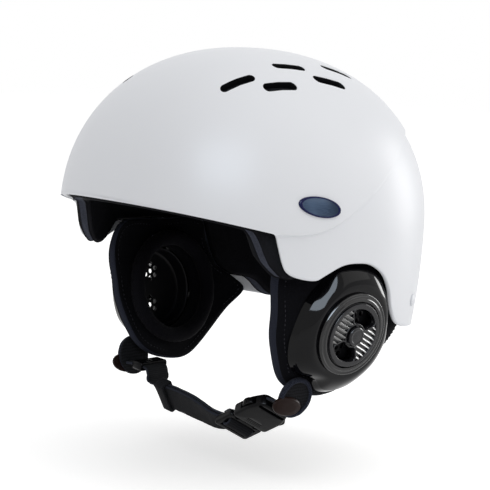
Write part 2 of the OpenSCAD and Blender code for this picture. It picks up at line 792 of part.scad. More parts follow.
// Webbing is swept along points [x, z, roll, rise]. The roll turns its width from level to hanging on
// edge, and the rise lifts it off the line
function strip_frame(line, i) = let (
    n = len(line),
    q = line[min(i + 1, n - 1)] - line[max(i - 1, 0)],
    along = unit([q[0], 0, q[1]]),
    side = [0, cos(line[i][2]), -sin(line[i][2])],
    w = unit(side - (side * along) * along))
    [along, w, cross(along, w), [line[i][0], strap_y, line[i][1]]];
function strip_ring(c, w, t) = [for (s = [[-1, -1], [1, -1], [1, 1], [-1, 1]])
    c + s[0] * web_w / 2 * w + s[1] * web_t / 2 * t];
function strip_row(line, i, drop) = let (
    f = strip_frame(line, i))
    strip_ring(f[3] + (line[i][3] - drop) * f[2], f[1], f[2]);
module strip_solid(rings) {
    n = len(rings);
    color("#2b2d31") polyhedron([for (r = rings, p = r) p], concat([[0, 1, 2], [0, 2, 3]],
        [for (j = [0 : n - 2], i = [0 : 3], h = [0, 1]) let (
            a = 4 * j + i, b = 4 * j + (i + 1) % 4) h == 0 ? [a, a + 4, b + 4] : [a, b + 4, b]],
        [[4 * n - 4, 4 * n - 2, 4 * n - 3], [4 * n - 4, 4 * n - 1, 4 * n - 2]]), 10);
}

// The long webbing leaves the right tab, hangs down and turns on edge to the ladder frame, goes round the
// frame's middle bar and comes back under itself as the loose end
web_start = ear_point([tab_down + 4.5, -tab_front, -cover_h - soft_gap - web_t / 2]);
web_roll = atan(tan(buckle_roll) / cos(buckle_rise));
lay = ladder_t / 2 + web_t / 2 + 2 * web_gap;
double = web_t + web_gap;
// Shares of the way from the tab to the ladder frame in X and Z, with the roll and the rise
chin_path = [[0, 0, 0, 0], [0.08, -0.02, 0, 0], [0.2, 0.005, 0, 0], [0.232, 0.16, 12, 0], [0.24, 0.36, 32, 0],
    [0.276, 0.52, 50, 0], [0.36, 0.59, 58, 0], [0.5, 0.63, 62, 0], [0.68, 0.71, 60, 0], [0.85, 0.85, 50, 1],
    [0.95, 0.955, web_roll, lay + double - 1.5], [1, 1, web_roll, lay + double]];
chin_line = open_curve([for (p = chin_path) [lerp(-web_start[0], ladder_x, p[0]),
    lerp(web_start[2], -ladder_depth, p[1]), p[2], p[3]]], 4);
tail_from = 20;
// Middle line round the middle bar, as [along, rise] from the ladder frame's outer end
bar_x = 1.5 * ladder_bar + ladder_slot;
wrap_r = (ladder_bar + ladder_slot) / 2;
wrap_line = open_curve(concat([[0, lay + double], [bar_x, lay + double], [bar_x + 0.8 * wrap_r, 0.7 * lay]],
    [for (a = [0 : 30 : 180]) [bar_x + wrap_r * cos(a), -lay * sin(a)]],
    [[bar_x - 1.15 * wrap_r, 0.6 * lay], [ladder_bar / 2, lay], [0, lay]]), 2);

module chin_webbing() {
    n = len(chin_line);
    m = len(wrap_line);
    axis = [cos(buckle_rise), 0, sin(buckle_rise)];
    width = [sin(buckle_roll) * sin(buckle_rise), cos(buckle_roll), -sin(buckle_roll) * cos(buckle_rise)];
    up = cross(axis, width);
    wrap = [for (i = [1 : m - 2]) let (
        p = wrap_line[i],
        q = unit(wrap_line[i + 1] - wrap_line[i - 1]))
        strip_ring([ladder_x, strap_y, -ladder_depth] + p[0] * axis + p[1] * up, width, q[0] * up - q[1] * axis)];
    strip_solid(concat([for (i = [0 : n - 2]) strip_row(chin_line, i, 0)], wrap,
        [for (i = [n - 2 : -1 : tail_from]) let (r = strip_row(chin_line, i, double)) [r[3], r[2], r[1], r[0]]]));
}

// The short webbing runs from the housing to the left tab
module short_webbing() {
    x0 = ladder_x + (housing_x + housing_l + web_gap) * cos(buckle_rise);
    z0 = (housing_x + housing_l + web_gap) * sin(buckle_rise) - ladder_depth;
    line = open_curve([[x0, z0, web_roll, 0], [lerp(x0, web_start[0], 0.35), lerp(z0, web_start[2], 0.5), 24, 0],
        [lerp(x0, web_start[0], 0.7), lerp(z0, web_start[2], 0.85), 8, 0], [web_start[0], web_start[2], 0, 0]], 3);
    strip_solid([for (i = [0 : len(line) - 1]) strip_row(line, i, 0)]);
}

// Places the children on the long webbing with X along it, Y across it and Z through it
module at_strip(i, rise) {
    f = strip_frame(chin_line, i);
    c = f[3] + rise * f[2];
    multmatrix([for (k = [0 : 2]) [f[0][k], f[1][k], f[2][k], c[k]]]) children();
}

// Rounded loop, l long, round layers of webbing of a total height h
module strip_loop(l, h) {
    w = web_w + 2 * web_gap;
    rotate([90, 0, 90]) linear_extrude(l, center = true, convexity = 4) difference() {
        offset(r = 1.5, $fn = 32) offset(delta = -1.5)
            square([w + 2 * loop_wall, h + 2 * loop_wall], center = true);
        square([w, h], center = true);
    }
}

// Slide on the webbing under the right tab, with two windows over the webbing
adjuster_at = 6;
module strap_adjuster() {
    color("#1b1c1f") at_strip(adjuster_at, 0) difference() {
        strip_loop(adjuster_l, web_t + 2 * web_gap);
        for (s = [-1, 1]) translate([s * adjuster_l / 5, 0, web_t + loop_wall])
            cube([adjuster_l / 5, web_w - 2, 2 * web_t + 2 * loop_wall], center = true);
    }
}

// Loop that keeps the loose end of the long webbing
keeper_at = 24;
module strap_keeper() {
    color("#26282c") at_strip(keeper_at, -double / 2) strip_loop(keeper_l, web_t + double + 4 * web_gap);
}

outer_shell();
foam_liner();
brow_pad();
crown_pad();
nape_pad();
left_side_pad();
right_side_pad();
left_ear_flap();
right_ear_flap();
left_ear_cover();
right_ear_cover();
left_ear_cup();
right_ear_cup();
left_ring_pad();
right_ring_pad();
left_vent_bezel();
right_vent_bezel();
left_vent_dial();
right_vent_dial();
left_hub_pin();
right_hub_pin();
left_badge();
right_badge();
shell_rivets();
left_strap_tab();
right_strap_tab();
short_webbing();
chin_webbing();
strap_adjuster();
strap_keeper();
buckle_housing();
buckle_tongue();
front_prong();
rear_prong();
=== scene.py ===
import bpy
import numpy as np
from mathutils import Matrix, Vector


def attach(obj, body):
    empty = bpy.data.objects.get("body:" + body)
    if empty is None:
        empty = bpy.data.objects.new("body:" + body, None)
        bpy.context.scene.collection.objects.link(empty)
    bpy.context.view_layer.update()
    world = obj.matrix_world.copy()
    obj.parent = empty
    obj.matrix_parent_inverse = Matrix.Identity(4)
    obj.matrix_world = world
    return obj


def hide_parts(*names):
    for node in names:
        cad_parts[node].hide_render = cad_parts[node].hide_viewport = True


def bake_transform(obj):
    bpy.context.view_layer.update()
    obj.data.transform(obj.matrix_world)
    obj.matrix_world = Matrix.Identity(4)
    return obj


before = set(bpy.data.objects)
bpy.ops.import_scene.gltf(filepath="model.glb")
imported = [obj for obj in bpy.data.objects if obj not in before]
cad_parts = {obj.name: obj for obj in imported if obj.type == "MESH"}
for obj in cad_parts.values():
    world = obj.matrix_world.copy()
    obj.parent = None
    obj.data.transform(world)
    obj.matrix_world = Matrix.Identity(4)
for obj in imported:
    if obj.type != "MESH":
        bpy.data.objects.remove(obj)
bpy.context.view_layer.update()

mm = 0.001


# ---- camera, first, at the photograph's viewing angle
cameraView = {"turn": 46.0, "rise": 6.6, "roll": 2.6, "distance": 1.1, "lens": 124.97, "sensor": 36,
              "shift": (0.0086, -0.0563), "clip": (0.05, 30)}


def placeCamera(s):
    turn, rise, roll = np.radians([s["turn"], s["rise"], s["roll"]])
    back = np.array([np.sin(turn) * np.cos(rise), -np.cos(turn) * np.cos(rise), np.sin(rise)])
    right = np.array([np.cos(turn), np.sin(turn), 0.0])
    up = np.cross(back, right)
    across = right * np.cos(roll) + up * np.sin(roll)
    over = up * np.cos(roll) - right * np.sin(roll)
    data = bpy.data.cameras.new("camera")
    data.lens, data.sensor_width = s["lens"], s["sensor"]
    data.shift_x, data.shift_y = s["shift"]
    data.clip_start, data.clip_end = s["clip"]
    camera = bpy.data.objects.new("camera", data)
    bpy.context.collection.objects.link(camera)
    columns = np.stack([across, over, back, back * s["distance"]], 1)
    camera.matrix_world = Matrix(columns.tolist() + [[0, 0, 0, 1]])
    bpy.context.scene.camera = camera


placeCamera(cameraView)


# ---- curves and grids, all worked out as whole arrays, in millimetres
def power(x, p):
    return np.sign(x) * np.abs(x) ** p  # keeps the sign of the base


def lerp(a, b, s):
    return a + (b - a) * s


def ease(x):
    x = np.clip(x, 0, 1)
    return x * x * (3 - 2 * x)


def bell(x, middle, wide):
    return np.exp(-((x - middle) / wide) ** 2)


def unit(v):
    return v / np.maximum(np.linalg.norm(v, axis=-1, keepdims=True), 1e-9)


def stacked(*parts):  # points from their separate coordinates, spread to one shape
    return np.stack(np.broadcast_arrays(*parts), -1)


def circle(count):  # angles all the way round
    return np.linspace(0, 2 * np.pi, count, endpoint=False)


def round2(a):
    return stacked(np.cos(a), np.sin(a))


def mirrored(p):
    return p * np.array([-1, 1, 1])


def onSide(side, p):  # everything is worked out on the left
    return mirrored(p) if side == "right" else p


def rotateAbout(axis, degrees):
    return np.array(Matrix.Rotation(np.radians(degrees), 3, axis))


def closedLine(line):
    return np.vstack([line, line[:1]])


def lengths(line):
    return np.linalg.norm(np.diff(line, axis=0), axis=1)


def runAlong(line):  # length of the line up to each of its points
    return np.concatenate([[0], np.cumsum(lengths(line))])


def cubic(a, b, c, d, s):
    second, third = 2 * a - 5 * b + 4 * c - d, 3 * b - a - 3 * c + d
    return 0.5 * (2 * b + (c - a) * s + second * s * s + third * s ** 3)


def smoothLoop(points, steps):  # closed curve whose slope at a point is half the step between its neighbours
    p = np.asarray(points, float)
    s = (np.arange(steps) / steps)[None, :, None]
    around = [np.roll(p, k, 0)[:, None, :] for k in (1, 0, -1, -2)]
    return cubic(*around, s).reshape(-1, p.shape[1])


def smoothLine(points, steps):  # the same, open
    p = np.asarray(points, float)
    q = np.vstack([p[:1], p, p[-1:]])
    s = (np.arange(steps) / steps)[None, :, None]
    line = cubic(q[:-3, None], q[1:-2, None], q[2:-1, None], q[3:, None], s).reshape(-1, p.shape[1])
    return np.vstack([line, p[-1:]])


def evenly(line, count, closed=False):  # the line's points set at even steps of its length
    p = closedLine(line) if closed else np.asarray(line, float)
    run = runAlong(p)
    at = np.linspace(0, run[-1], count + 1)[:-1] if closed else np.linspace(0, run[-1], count)
    return np.stack([np.interp(at, run, p[:, k]) for k in range(p.shape[1])], 1)


def cornerCurve(a, b, c, reach, share, steps):  # from a to c, past the corner b
    near, far = (b + unit(q - b) * min(reach, np.linalg.norm(q - b) * share) for q in (a, c))
    t = np.linspace(0, 1, steps)[:, None]
    return (1 - t) ** 2 * near + 2 * t * (1 - t) * b + t * t * far


def softened(profile, reach=0.25):  # open line with a short curve in place of each corner
    p = np.asarray(profile, float)
    inside = [cornerCurve(a, b, c, reach, 0.45, 4) for a, b, c in zip(p[:-2], p[1:-1], p[2:])]
    return np.vstack([p[:1], *inside, p[-1:]])


def roundedOutline(corners, reach, steps=7):  # the same for a closed outline
    p = np.asarray(corners, float)
    around = zip(np.roll(p, 1, 0), p, np.roll(p, -1, 0))
    return np.vstack([cornerCurve(a, b, c, reach, 0.48, steps) for a, b, c in around])


def lathe(profile, count=96, centre=(0, 0)):
    # Profile of [radius, height] points turned about Z at a centre: rows follow the profile
    a, p = circle(count), np.asarray(profile, float)
    return stacked(centre[0] + p[:, :1] * np.cos(a), centre[1] + p[:, :1] * np.sin(a), p[:, 1:2])


def prism(outline, levels):  # an outline of [x, y] repeated at each height
    return stacked(outline[None, :, 0], outline[None, :, 1], np.asarray(levels, float)[:, None])


def ripple(points, size, seed, terms=14):
    # Soft noise: a sum of sines along random directions, about `size` mm from crest to crest
    pick = np.random.default_rng(seed)
    way = unit(pick.normal(size=(terms, 3)))
    pace = 2 * np.pi / (size * pick.uniform(0.7, 1.6, terms))
    turn = pick.uniform(0, 2 * np.pi, terms)
    return np.sin(np.tensordot(points, way.T, 1) * pace + turn).sum(-1) / np.sqrt(terms / 2)


def gridFaces(rows, cols, wrapRows, wrapCols):
    # Corners of each face of a grid, and their places on a flat map in columns and rows
    j, i = np.meshgrid(np.arange(rows - (not wrapRows)), np.arange(cols - (not wrapCols)), indexing="ij")
    down, on = (j + 1) % rows, (i + 1) % cols
    quads = np.stack([j * cols + i, down * cols + i, down * cols + on, j * cols + on], -1)
    flat = np.stack([stacked(i + a, j + b) for a, b in ((0, 0), (0, 1), (1, 1), (1, 0))], 2)
    return quads.reshape(-1, 4), flat.reshape(-1, 4, 2).astype(float)


def volumeOf(points, faces):  # six times the volume between the faces and the origin
    first = points[faces[:, 0]]
    pairs = zip(faces.T[1:-1], faces.T[2:])
    return sum(np.einsum("ij,ij->i", first, np.cross(points[a], points[b])).sum() for a, b in pairs)


class Skin:
    # Collects closed grids into one mesh. A grid is rows x cols x 3 in millimetres, and is turned so that
    # its faces point out. uv is mm per col and row or a map of its own, caps are fans or single faces
    # over its first and last rows, and looks is the material of each row of faces
    def __init__(self):
        self.points, self.faces, self.maps, self.looks, self.count = [], [], [], [], 0

    def grid(self, p, wrapRows=False, wrapCols=True, uv=(1, 1), caps="", looks=0, turn=True):
        rows, cols = p.shape[:2]
        quads, flat = gridFaces(rows, cols, wrapRows, wrapCols)
        own = uv.reshape(-1, 2) if isinstance(uv, np.ndarray) else None
        flat = flat * np.array(uv, float) if own is None else own[quads]
        look = np.repeat(np.broadcast_to(looks, rows - (not wrapRows)), cols - (not wrapCols))
        points, i = p.reshape(-1, 3), np.arange(cols)
        parts, maps, kinds = [quads], [flat.reshape(-1, 2)], [look]
        for end in (0, 1) if caps == "fan" else ():
            base = end * (rows - 1) * cols
            rim = base + (i + end) % cols, base + (i + 1 - end) % cols
            fan = np.stack([np.full(cols, len(points)), *rim], -1)
            if own is None:
                middle = [cols / 2 * uv[0], -end * rows * uv[1]]
                rim = [stacked((i + k) * uv[0], end * rows * uv[1]) for k in (1, 2)]
            else:
                middle, rim = uv[-end].mean(0), [own[fan[:, k]] for k in (1, 2)]
            points = np.vstack([points, p[-end].mean(0)[None]])
            parts.append(fan)
            maps.append(np.stack([np.broadcast_to(middle, (cols, 2)), *rim], 1).reshape(-1, 2))
            kinds.append(np.full(cols, look[-end]))
        ends = [i, (rows - 1) * cols + i[::-1]] if caps == "face" else []
        fans = [np.stack([np.full(cols - 2, f[0]), f[1:-1], f[2:]], -1) for f in ends]
        flip = turn and sum(volumeOf(points, f) for f in parts + fans) < 0
        for f, m in zip(parts, maps):
            if flip:
                f, m[:] = f[:, ::-1], m.reshape(len(f), -1, 2)[:, ::-1].reshape(-1, 2)
            self.faces += (f + self.count).tolist()
        for f in ends:
            f = f[::-1] if flip else f
            self.faces.append((f + self.count).tolist())
            maps.append(points[f][:, :2])
            kinds.append([look[0]])
        self.points.append(points)
        self.maps += maps
        self.looks.append(np.concatenate(kinds))
        self.count += len(points)
        return self

    def build(self, name):
        mesh = bpy.data.meshes.new(name)
        mesh.from_pydata((np.vstack(self.points) * mm).tolist(), [], self.faces)
        layer = mesh.uv_layers.new(name="across")
        layer.data.foreach_set("uv", (np.vstack(self.maps) * mm).astype(np.float32).ravel())
        mesh.polygons.foreach_set("material_index", np.concatenate(self.looks).astype(np.int32))
        mesh.polygons.foreach_set("use_smooth", np.ones(len(mesh.polygons), bool))
        mesh.update()
        piece = bpy.data.objects.new(name, mesh)
        bpy.context.collection.objects.link(piece)
        return piece


def apply(piece):
    bpy.context.view_layer.update()
    mesh = bpy.data.meshes.new_from_object(piece.evaluated_get(bpy.context.evaluated_depsgraph_get()))
    piece.modifiers.clear()
    piece.data = mesh


def combine(piece, tool, way="DIFFERENCE"):
    step = piece.modifiers.new("combine", "BOOLEAN")
    step.operation, step.solver, step.object = way, "EXACT", tool
    apply(piece)
    bpy.data.objects.remove(tool)


def shadeByAngle(piece, angle):
    piece.data.polygons.foreach_set("use_smooth", np.ones(len(piece.data.polygons), bool))
    piece.data.set_sharp_from_angle(angle=np.radians(angle))
    return piece


def crisp(piece, width, angle=40):
    edge = piece.modifiers.new("edge", "BEVEL")
    edge.width, edge.segments, edge.limit_method, edge.angle_limit = width * mm, 2, "ANGLE", np.radians(angle)
    apply(piece)
    return shadeByAngle(piece, angle)


def faceValues(piece, label, wide):
    out = np.zeros(wide * len(piece.data.polygons))
    piece.data.polygons.foreach_get(label, out)
    return out.reshape(-1, wide)


# ---- shader groups
class Wires:
    # Short calls for adding nodes to a tree
    def __init__(self, tree):
        self.tree = tree

    def put(self, socket, value):
        if isinstance(value, bpy.types.NodeSocket):
            self.tree.links.new(value, socket)
        else:
            socket.default_value = value

    def node(self, kind, settings, inputs):
        node = self.tree.nodes.new("ShaderNode" + kind)
        for label, value in settings.items():
            setattr(node, label, value)
        for label, value in inputs.items():
            self.put(node.inputs[label], value)
        return node.outputs

    def math(self, kind, *values):
        return self.node("Math", {"operation": kind}, dict(enumerate(values)))[0]

    def noise(self, vector, scale, detail, rough):
        values = {"Vector": vector, "Scale": scale, "Detail": detail, "Roughness": rough}
        return self.node("TexNoise", {}, values)["Fac"]

    def cells(self, vector, scale):
        return self.node("TexVoronoi", {}, {"Vector": vector, "Scale": scale})["Distance"]

    def span(self, value, low, high, a=0.0, b=1.0):
        ends = {"Value": value, "From Min": low, "From Max": high, "To Min": a, "To Max": b}
        return self.node("MapRange", {"interpolation_type": "SMOOTHSTEP"}, ends)["Result"]

    def blend(self, share, a, b):
        return self.node("Mix", {"data_type": "RGBA"}, {"Factor": share, "A": a, "B": b})["Result"]

    def split(self, vector):
        return self.node("SeparateXYZ", {}, {"Vector": vector})

    def stretch(self, vector, scale):
        return self.node("Mapping", {}, {"Vector": vector, "Scale": scale})[0]

    def group(self, group, **values):
        return self.node("Group", {"node_tree": group}, values)


def newGroup(name, inputs, outputs):
    group = bpy.data.node_groups.new(name, "ShaderNodeTree")
    group.interface.new_socket("Vector", in_out="INPUT", socket_type="NodeSocketVector")
    for label, value in inputs.items():
        group.interface.new_socket(label, in_out="INPUT", socket_type="NodeSocketFloat").default_value = value
    for label in outputs:
        group.interface.new_socket(label, in_out="OUTPUT", socket_type="NodeSocketFloat")
    enter, leave = group.nodes.new("NodeGroupInput"), group.nodes.new("NodeGroupOutput")
    return group, Wires(group), enter.outputs, leave.inputs


def makeGrain():
    # Fine moulded grain with faint clouding: two sizes of noise and small pits
    group, w, enter, leave = newGroup("mouldedGrain", {"Fineness": 900.0}, ("Height", "Cloud"))
    vector, fineness = enter["Vector"], enter["Fineness"]
    pits, grain = w.cells(vector, fineness), w.noise(vector, fineness, 3, 0.6)
    w.put(leave["Height"], w.math("MULTIPLY_ADD", pits, 0.35, grain))
    w.put(leave["Cloud"], w.noise(vector, w.math("MULTIPLY", fineness, 0.02), 4, 0.55))
    return group


def makeWear():
    # Faint scuffs: long stretched noise cut to thin lines, and dust that gathers in soft patches
    group, w, enter, leave = newGroup("scuffs", {"Amount": 0.5}, ("Scuff", "Dust"))
    vector, amount = enter["Vector"], enter["Amount"]
    lines = w.noise(w.stretch(vector, (60, 900, 300)), 1.0, 3, 0.7)
    thin = w.span(w.math("ABSOLUTE", w.math("SUBTRACT", lines, 0.5)), 0.0, 0.012, 1.0, 0.0)
    patch = w.span(w.noise(vector, 22.0, 3, 0.6), 0.52, 0.72)
    specks = w.span(w.noise(vector, 1400.0, 1, 0.5), 0.62, 0.74)
    w.put(leave["Scuff"], w.math("MULTIPLY", w.math("MULTIPLY", thin, patch), amount))
    w.put(leave["Dust"], w.math("MULTIPLY", specks, amount))
    return group


def makeWeave():
    # Plain weave on a piece's own map: raised over and under threads at right angles, with uneven yarn
    group, w, enter, leave = newGroup("weave", {"Threads": 1400.0, "Uneven": 0.3}, ("Height", "Shade"))
    x, y = w.split(enter["Vector"])[:2]
    pace = w.math("MULTIPLY", enter["Threads"], np.pi)
    a, b = (w.math("SINE", w.math("MULTIPLY", v, pace)) for v in (x, y))
    over = w.math("MULTIPLY", a, b)
    rib = w.math("MAXIMUM", w.math("ABSOLUTE", a), w.math("ABSOLUTE", b))
    yarn = w.noise(enter["Vector"], enter["Threads"], 2, 0.6)
    height = w.math("MULTIPLY_ADD", over, 0.3, w.math("MULTIPLY", rib, 0.4))
    w.put(leave["Height"], w.math("MULTIPLY_ADD", yarn, enter["Uneven"], height))
    w.put(leave["Shade"], w.math("MULTIPLY_ADD", over, 0.25, w.math("MULTIPLY", yarn, 0.8)))
    return group


def makeFoam():
    # Closed-cell foam skin: close round cells over a soft unevenness
    group, w, enter, leave = newGroup("foamSkin", {"Cells": 900.0}, ("Height", "Shade"))
    cell = w.cells(enter["Vector"], enter["Cells"])
    soft = w.noise(enter["Vector"], w.math("MULTIPLY", enter["Cells"], 0.12), 3, 0.5)
    w.put(leave["Height"], w.math("MULTIPLY_ADD", cell, 0.6, w.math("MULTIPLY", soft, 0.7)))
    w.put(leave["Shade"], w.math("MULTIPLY_ADD", cell, 0.4, w.math("MULTIPLY", soft, 0.6)))
    return group


mouldedGrain, scuffs, weave, foamSkin = makeGrain(), makeWear(), makeWeave(), makeFoam()


# ---- materials. Colours are linear red, green and blue
def newMaterial(name, rough, coat=0.0, coatRough=0.05, sheen=0.0, specular=0.5):
    material = bpy.data.materials.new(name)
    material.use_nodes = True
    tree = material.node_tree
    shader = tree.nodes["Principled BSDF"].inputs
    values = {"Roughness": rough, "Coat Weight": coat, "Coat Roughness": coatRough, "Sheen Weight": sheen,
              "Sheen Roughness": 0.45, "Specular IOR Level": specular}
    for label, value in values.items():
        shader[label].default_value = value
    return material, Wires(tree), shader, tree.nodes.new("ShaderNodeTexCoord").outputs


def bump(w, shader, height, strength, distance):
    shade = w.node("Bump", {}, {"Strength": strength, "Distance": distance * mm, "Height": height})
    w.put(shader["Normal"], shade["Normal"])


def plasticMaterial(name, colour, worn, rough, fineness=900.0, grain=0.25, depth=0.03, scuff=0.4, **gloss):
    # Moulded plastic: grain in the bump, clouded roughness, and faint scuffs and dust in the colour
    material, w, shader, place = newMaterial(name, rough, **gloss)
    colour, worn = (*colour, 1), (*worn, 1)
    skin = w.group(mouldedGrain, Vector=place["Object"], Fineness=fineness)
    marks = w.group(scuffs, Vector=place["Object"], Amount=scuff)
    tinted = w.blend(w.math("MULTIPLY", skin["Cloud"], 0.12), colour, worn)
    tinted = w.blend(w.math("MAXIMUM", marks["Scuff"], w.math("MULTIPLY", marks["Dust"], 0.35)), tinted, worn)
    w.put(shader["Base Color"], tinted)
    level = w.math("MULTIPLY_ADD", skin["Cloud"], 0.10, rough - 0.05)
    w.put(shader["Roughness"], w.math("MULTIPLY_ADD", marks["Scuff"], 0.25, level))
    bump(w, shader, skin["Height"], grain, depth)
    return material


def clothMaterial(name, colour, light, threads):
    # Woven cloth on the piece's own map, with lighter yarn crowns and a little lint
    material, w, shader, place = newMaterial(name, 0.9, sheen=0.02, specular=0.04)
    light = (*light, 1)
    cloth = w.group(weave, Vector=place["UV"], Threads=threads, Uneven=0.35)
    lint = w.span(w.noise(place["Object"], 420.0, 4, 0.7), 0.6, 0.78)
    shade = w.blend(w.span(cloth["Shade"], 0.1, 0.75), (*colour, 1), light)
    w.put(shader["Base Color"], w.blend(w.math("MULTIPLY", lint, 0.25), shade, light))
    bump(w, shader, cloth["Height"], 0.7, 0.12)
    return material


def foamMaterial(name, colour, light, cells=900.0):
    material, w, shader, place = newMaterial(name, 0.85, specular=0.08)
    skin = w.group(foamSkin, Vector=place["Object"], Cells=cells)
    w.put(shader["Base Color"], w.blend(w.span(skin["Shade"], 0.15, 0.8), (*colour, 1), (*light, 1)))
    bump(w, shader, skin["Height"], 0.5, 0.12)
    return material


def badgeMaterial(name):
    # Domed resin over brushed blue-grey foil: fine streaks along the oval, and a darker rear end
    material, w, shader, place = newMaterial(name, 0.18, coat=0.1, specular=0.12)
    y = w.split(place["Object"])["Y"]
    streak = w.noise(w.stretch(place["Object"], (200, 260, 2600)), 1.0, 3, 0.6)
    cloud = w.noise(place["Object"], 70.0, 1, 0.4)
    foil = w.blend(w.span(streak, 0.3, 0.7), (0.022, 0.040, 0.080, 1), (0.050, 0.085, 0.15, 1))
    foil = w.blend(w.span(cloud, 0.3, 0.8), foil, (0.075, 0.12, 0.20, 1))
    w.put(shader["Base Color"], w.blend(w.span(y, -0.032, -0.022), foil, (0.010, 0.025, 0.055, 1)))
    bump(w, shader, streak, 0.1, 0.02)
    return material


def webbingMaterial(name):
    # Narrow-woven webbing: herringbone ribs across the width, and a painted highlight along both edges, a
    # paler colour standing in for their sheen
    material, w, shader, place = newMaterial(name, 0.82, sheen=0.03, specular=0.1)
    x, y = w.split(place["UV"])[:2]
    lean = w.math("ABSOLUTE", w.math("SUBTRACT", w.math("FRACT", w.math("MULTIPLY", y, 210.0)), 0.5))
    rows = w.math("SINE", w.math("MULTIPLY_ADD", lean, 3.0, w.math("MULTIPLY", x, 5200.0)))
    warp = w.math("SINE", w.math("MULTIPLY", y, 6600.0))
    fuzz = w.noise(place["Object"], 2600.0, 3, 0.7)
    height = w.math("MULTIPLY_ADD", warp, 0.25, w.math("MULTIPLY", fuzz, 0.6))
    height = w.math("MULTIPLY_ADD", rows, 0.5, height)
    shade = w.blend(w.span(height, -0.3, 0.9), (0.001, 0.001, 0.0015, 1), (0.007, 0.007, 0.009, 1))
    # painted highlight: a paler colour along both edges of the width, in place of the sheen on the webbing's
    # edges
    edge = w.span(w.math("ABSOLUTE", w.math("SUBTRACT", y, 0.0095)), 0.0084, 0.0094)
    w.put(shader["Base Color"], w.blend(w.math("MULTIPLY", edge, 0.6), shade, (0.028, 0.032, 0.048, 1)))
    bump(w, shader, height, 0.6, 0.15)
    return material


finish = {
    "white": plasticMaterial("whiteShell", (0.80, 0.815, 0.85), (0.68, 0.69, 0.71), 0.45, coat=0.04,
                             coatRough=0.25, specular=0.16, fineness=260, grain=0.06, depth=0.02, scuff=0.12),
    "gloss": plasticMaterial("glossBlack", (0.0012, 0.0012, 0.0018), (0.02, 0.02, 0.024), 0.07, coat=0.12,
                             coatRough=0.03, specular=0.09, fineness=500, grain=0.03, depth=0.01, scuff=0.15),
    "bezel": plasticMaterial("bezelBlack", (0.0015, 0.0015, 0.002), (0.02, 0.02, 0.024), 0.14, coat=0.3,
                             coatRough=0.08, specular=0.25, grain=0.12, scuff=0.2),
    # dark plastic of the ear cups, and the painted shade on the shell's vent walls
    "dark": plasticMaterial("darkPlastic", (0.003, 0.003, 0.004), (0.02, 0.02, 0.024), 0.42, specular=0.15,
                            fineness=1100, grain=0.35),
    "dial": plasticMaterial("dialGrey", (0.008, 0.008, 0.010), (0.05, 0.05, 0.055), 0.24, coat=0.1,
                            coatRough=0.12, specular=0.25, fineness=1000),
    # slats a lighter grey than the disc they are moulded on: partly a painted highlight on the slats
    "slat": plasticMaterial("slatGreyWithPaintedHighlight", (0.12, 0.12, 0.118), (0.3, 0.3, 0.3), 0.24, coat=0.6, coatRough=0.14,
                            specular=0.8, fineness=1000, grain=0.15),
    "badgeRim": plasticMaterial("badgeRim", (0.003, 0.005, 0.055), (0.02, 0.03, 0.09), 0.22, coat=0.04,
                                specular=0.1, fineness=700, grain=0.08, scuff=0.2),
    "buckle": plasticMaterial("bucklePlastic", (0.0015, 0.0015, 0.002), (0.012, 0.012, 0.015), 0.26,
                              specular=0.08, fineness=1200, grain=0.3),
    "cap": plasticMaterial("tabCap", (0.011, 0.0045, 0.0035), (0.03, 0.014, 0.011), 0.34, specular=0.08,
                           fineness=1200, grain=0.3),
    "badgeFace": badgeMaterial("badgeFace"),
    "webbing": webbingMaterial("webbing"),
    "foam": foamMaterial("linerFoam", (0.002, 0.002, 0.0028), (0.006, 0.006, 0.008)),
    "edgeFoam": foamMaterial("edgeFoam", (0.030, 0.032, 0.044), (0.055, 0.060, 0.080), cells=1100),
    "pad": clothMaterial("padCloth", (0.0015, 0.0014, 0.002), (0.006, 0.0055, 0.008), 1250),
    "flap": clothMaterial("flapCloth", (0.0012, 0.0012, 0.0018), (0.005, 0.005, 0.007), 1600),
    "tape": clothMaterial("bindingTape", (0.010, 0.011, 0.018), (0.032, 0.036, 0.052), 1900),
    "thread": clothMaterial("sewingThread", (0.010, 0.010, 0.013), (0.05, 0.05, 0.06), 3800),
}


def settle(piece, body, node, looks, slot, soft=None):
    # Gives a finished piece its materials and its body, and hides its CAD node. Given two bodies instead of
    # one, it only fixes the piece where it is built
    kinds = faceValues(piece, "material_index", 1)[:, 0]
    piece.data.materials.clear()
    for look in looks:
        piece.data.materials.append(finish[look])
    piece.data.polygons.foreach_set("material_index", np.minimum(kinds, len(looks) - 1).astype(np.int32))
    if isinstance(body, str):
        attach(piece, body)
    else:
        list(body)
        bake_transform(piece)
    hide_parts(node)


def sidePiece(side, name, make, node, looks, slot, angle=None, soft=None, body="helmet", after=None):
    skin = Skin()
    for grid, extra in make(side):
        skin.grid(onSide(side, grid), **extra)
    piece = skin.build(side + name)
    if after:
        after(piece, side)
    if angle:
        shadeByAngle(piece, angle)
    settle(piece, body.format(side=side), node.format(side=side), looks, slot, soft)


def sideBySide(*values, **more):
    # Makes the left piece and its mirror image on the right
    for side in ("left", "right"):
        sidePiece(side, *values, **more)


# ---- the helmet's form, as in the CAD
form = {"halfW": 106.0, "halfL": 118.0, "egg": 6.0, "crown": 109.5, "plan": 2.4, "rise": 2.15,
        "tuckSide": 0.016, "tuckRear": 0.172, "tuckDepth": 95.0, "capStep": 1.6, "inside": 4.2, "below": 170}


def planOf(turn, halfW, halfL):
    s, c = power(np.sin(turn), 2 / form["plan"]), power(np.cos(turn), 2 / form["plan"])
    return halfW * s, form["egg"] * c * c - halfL * c


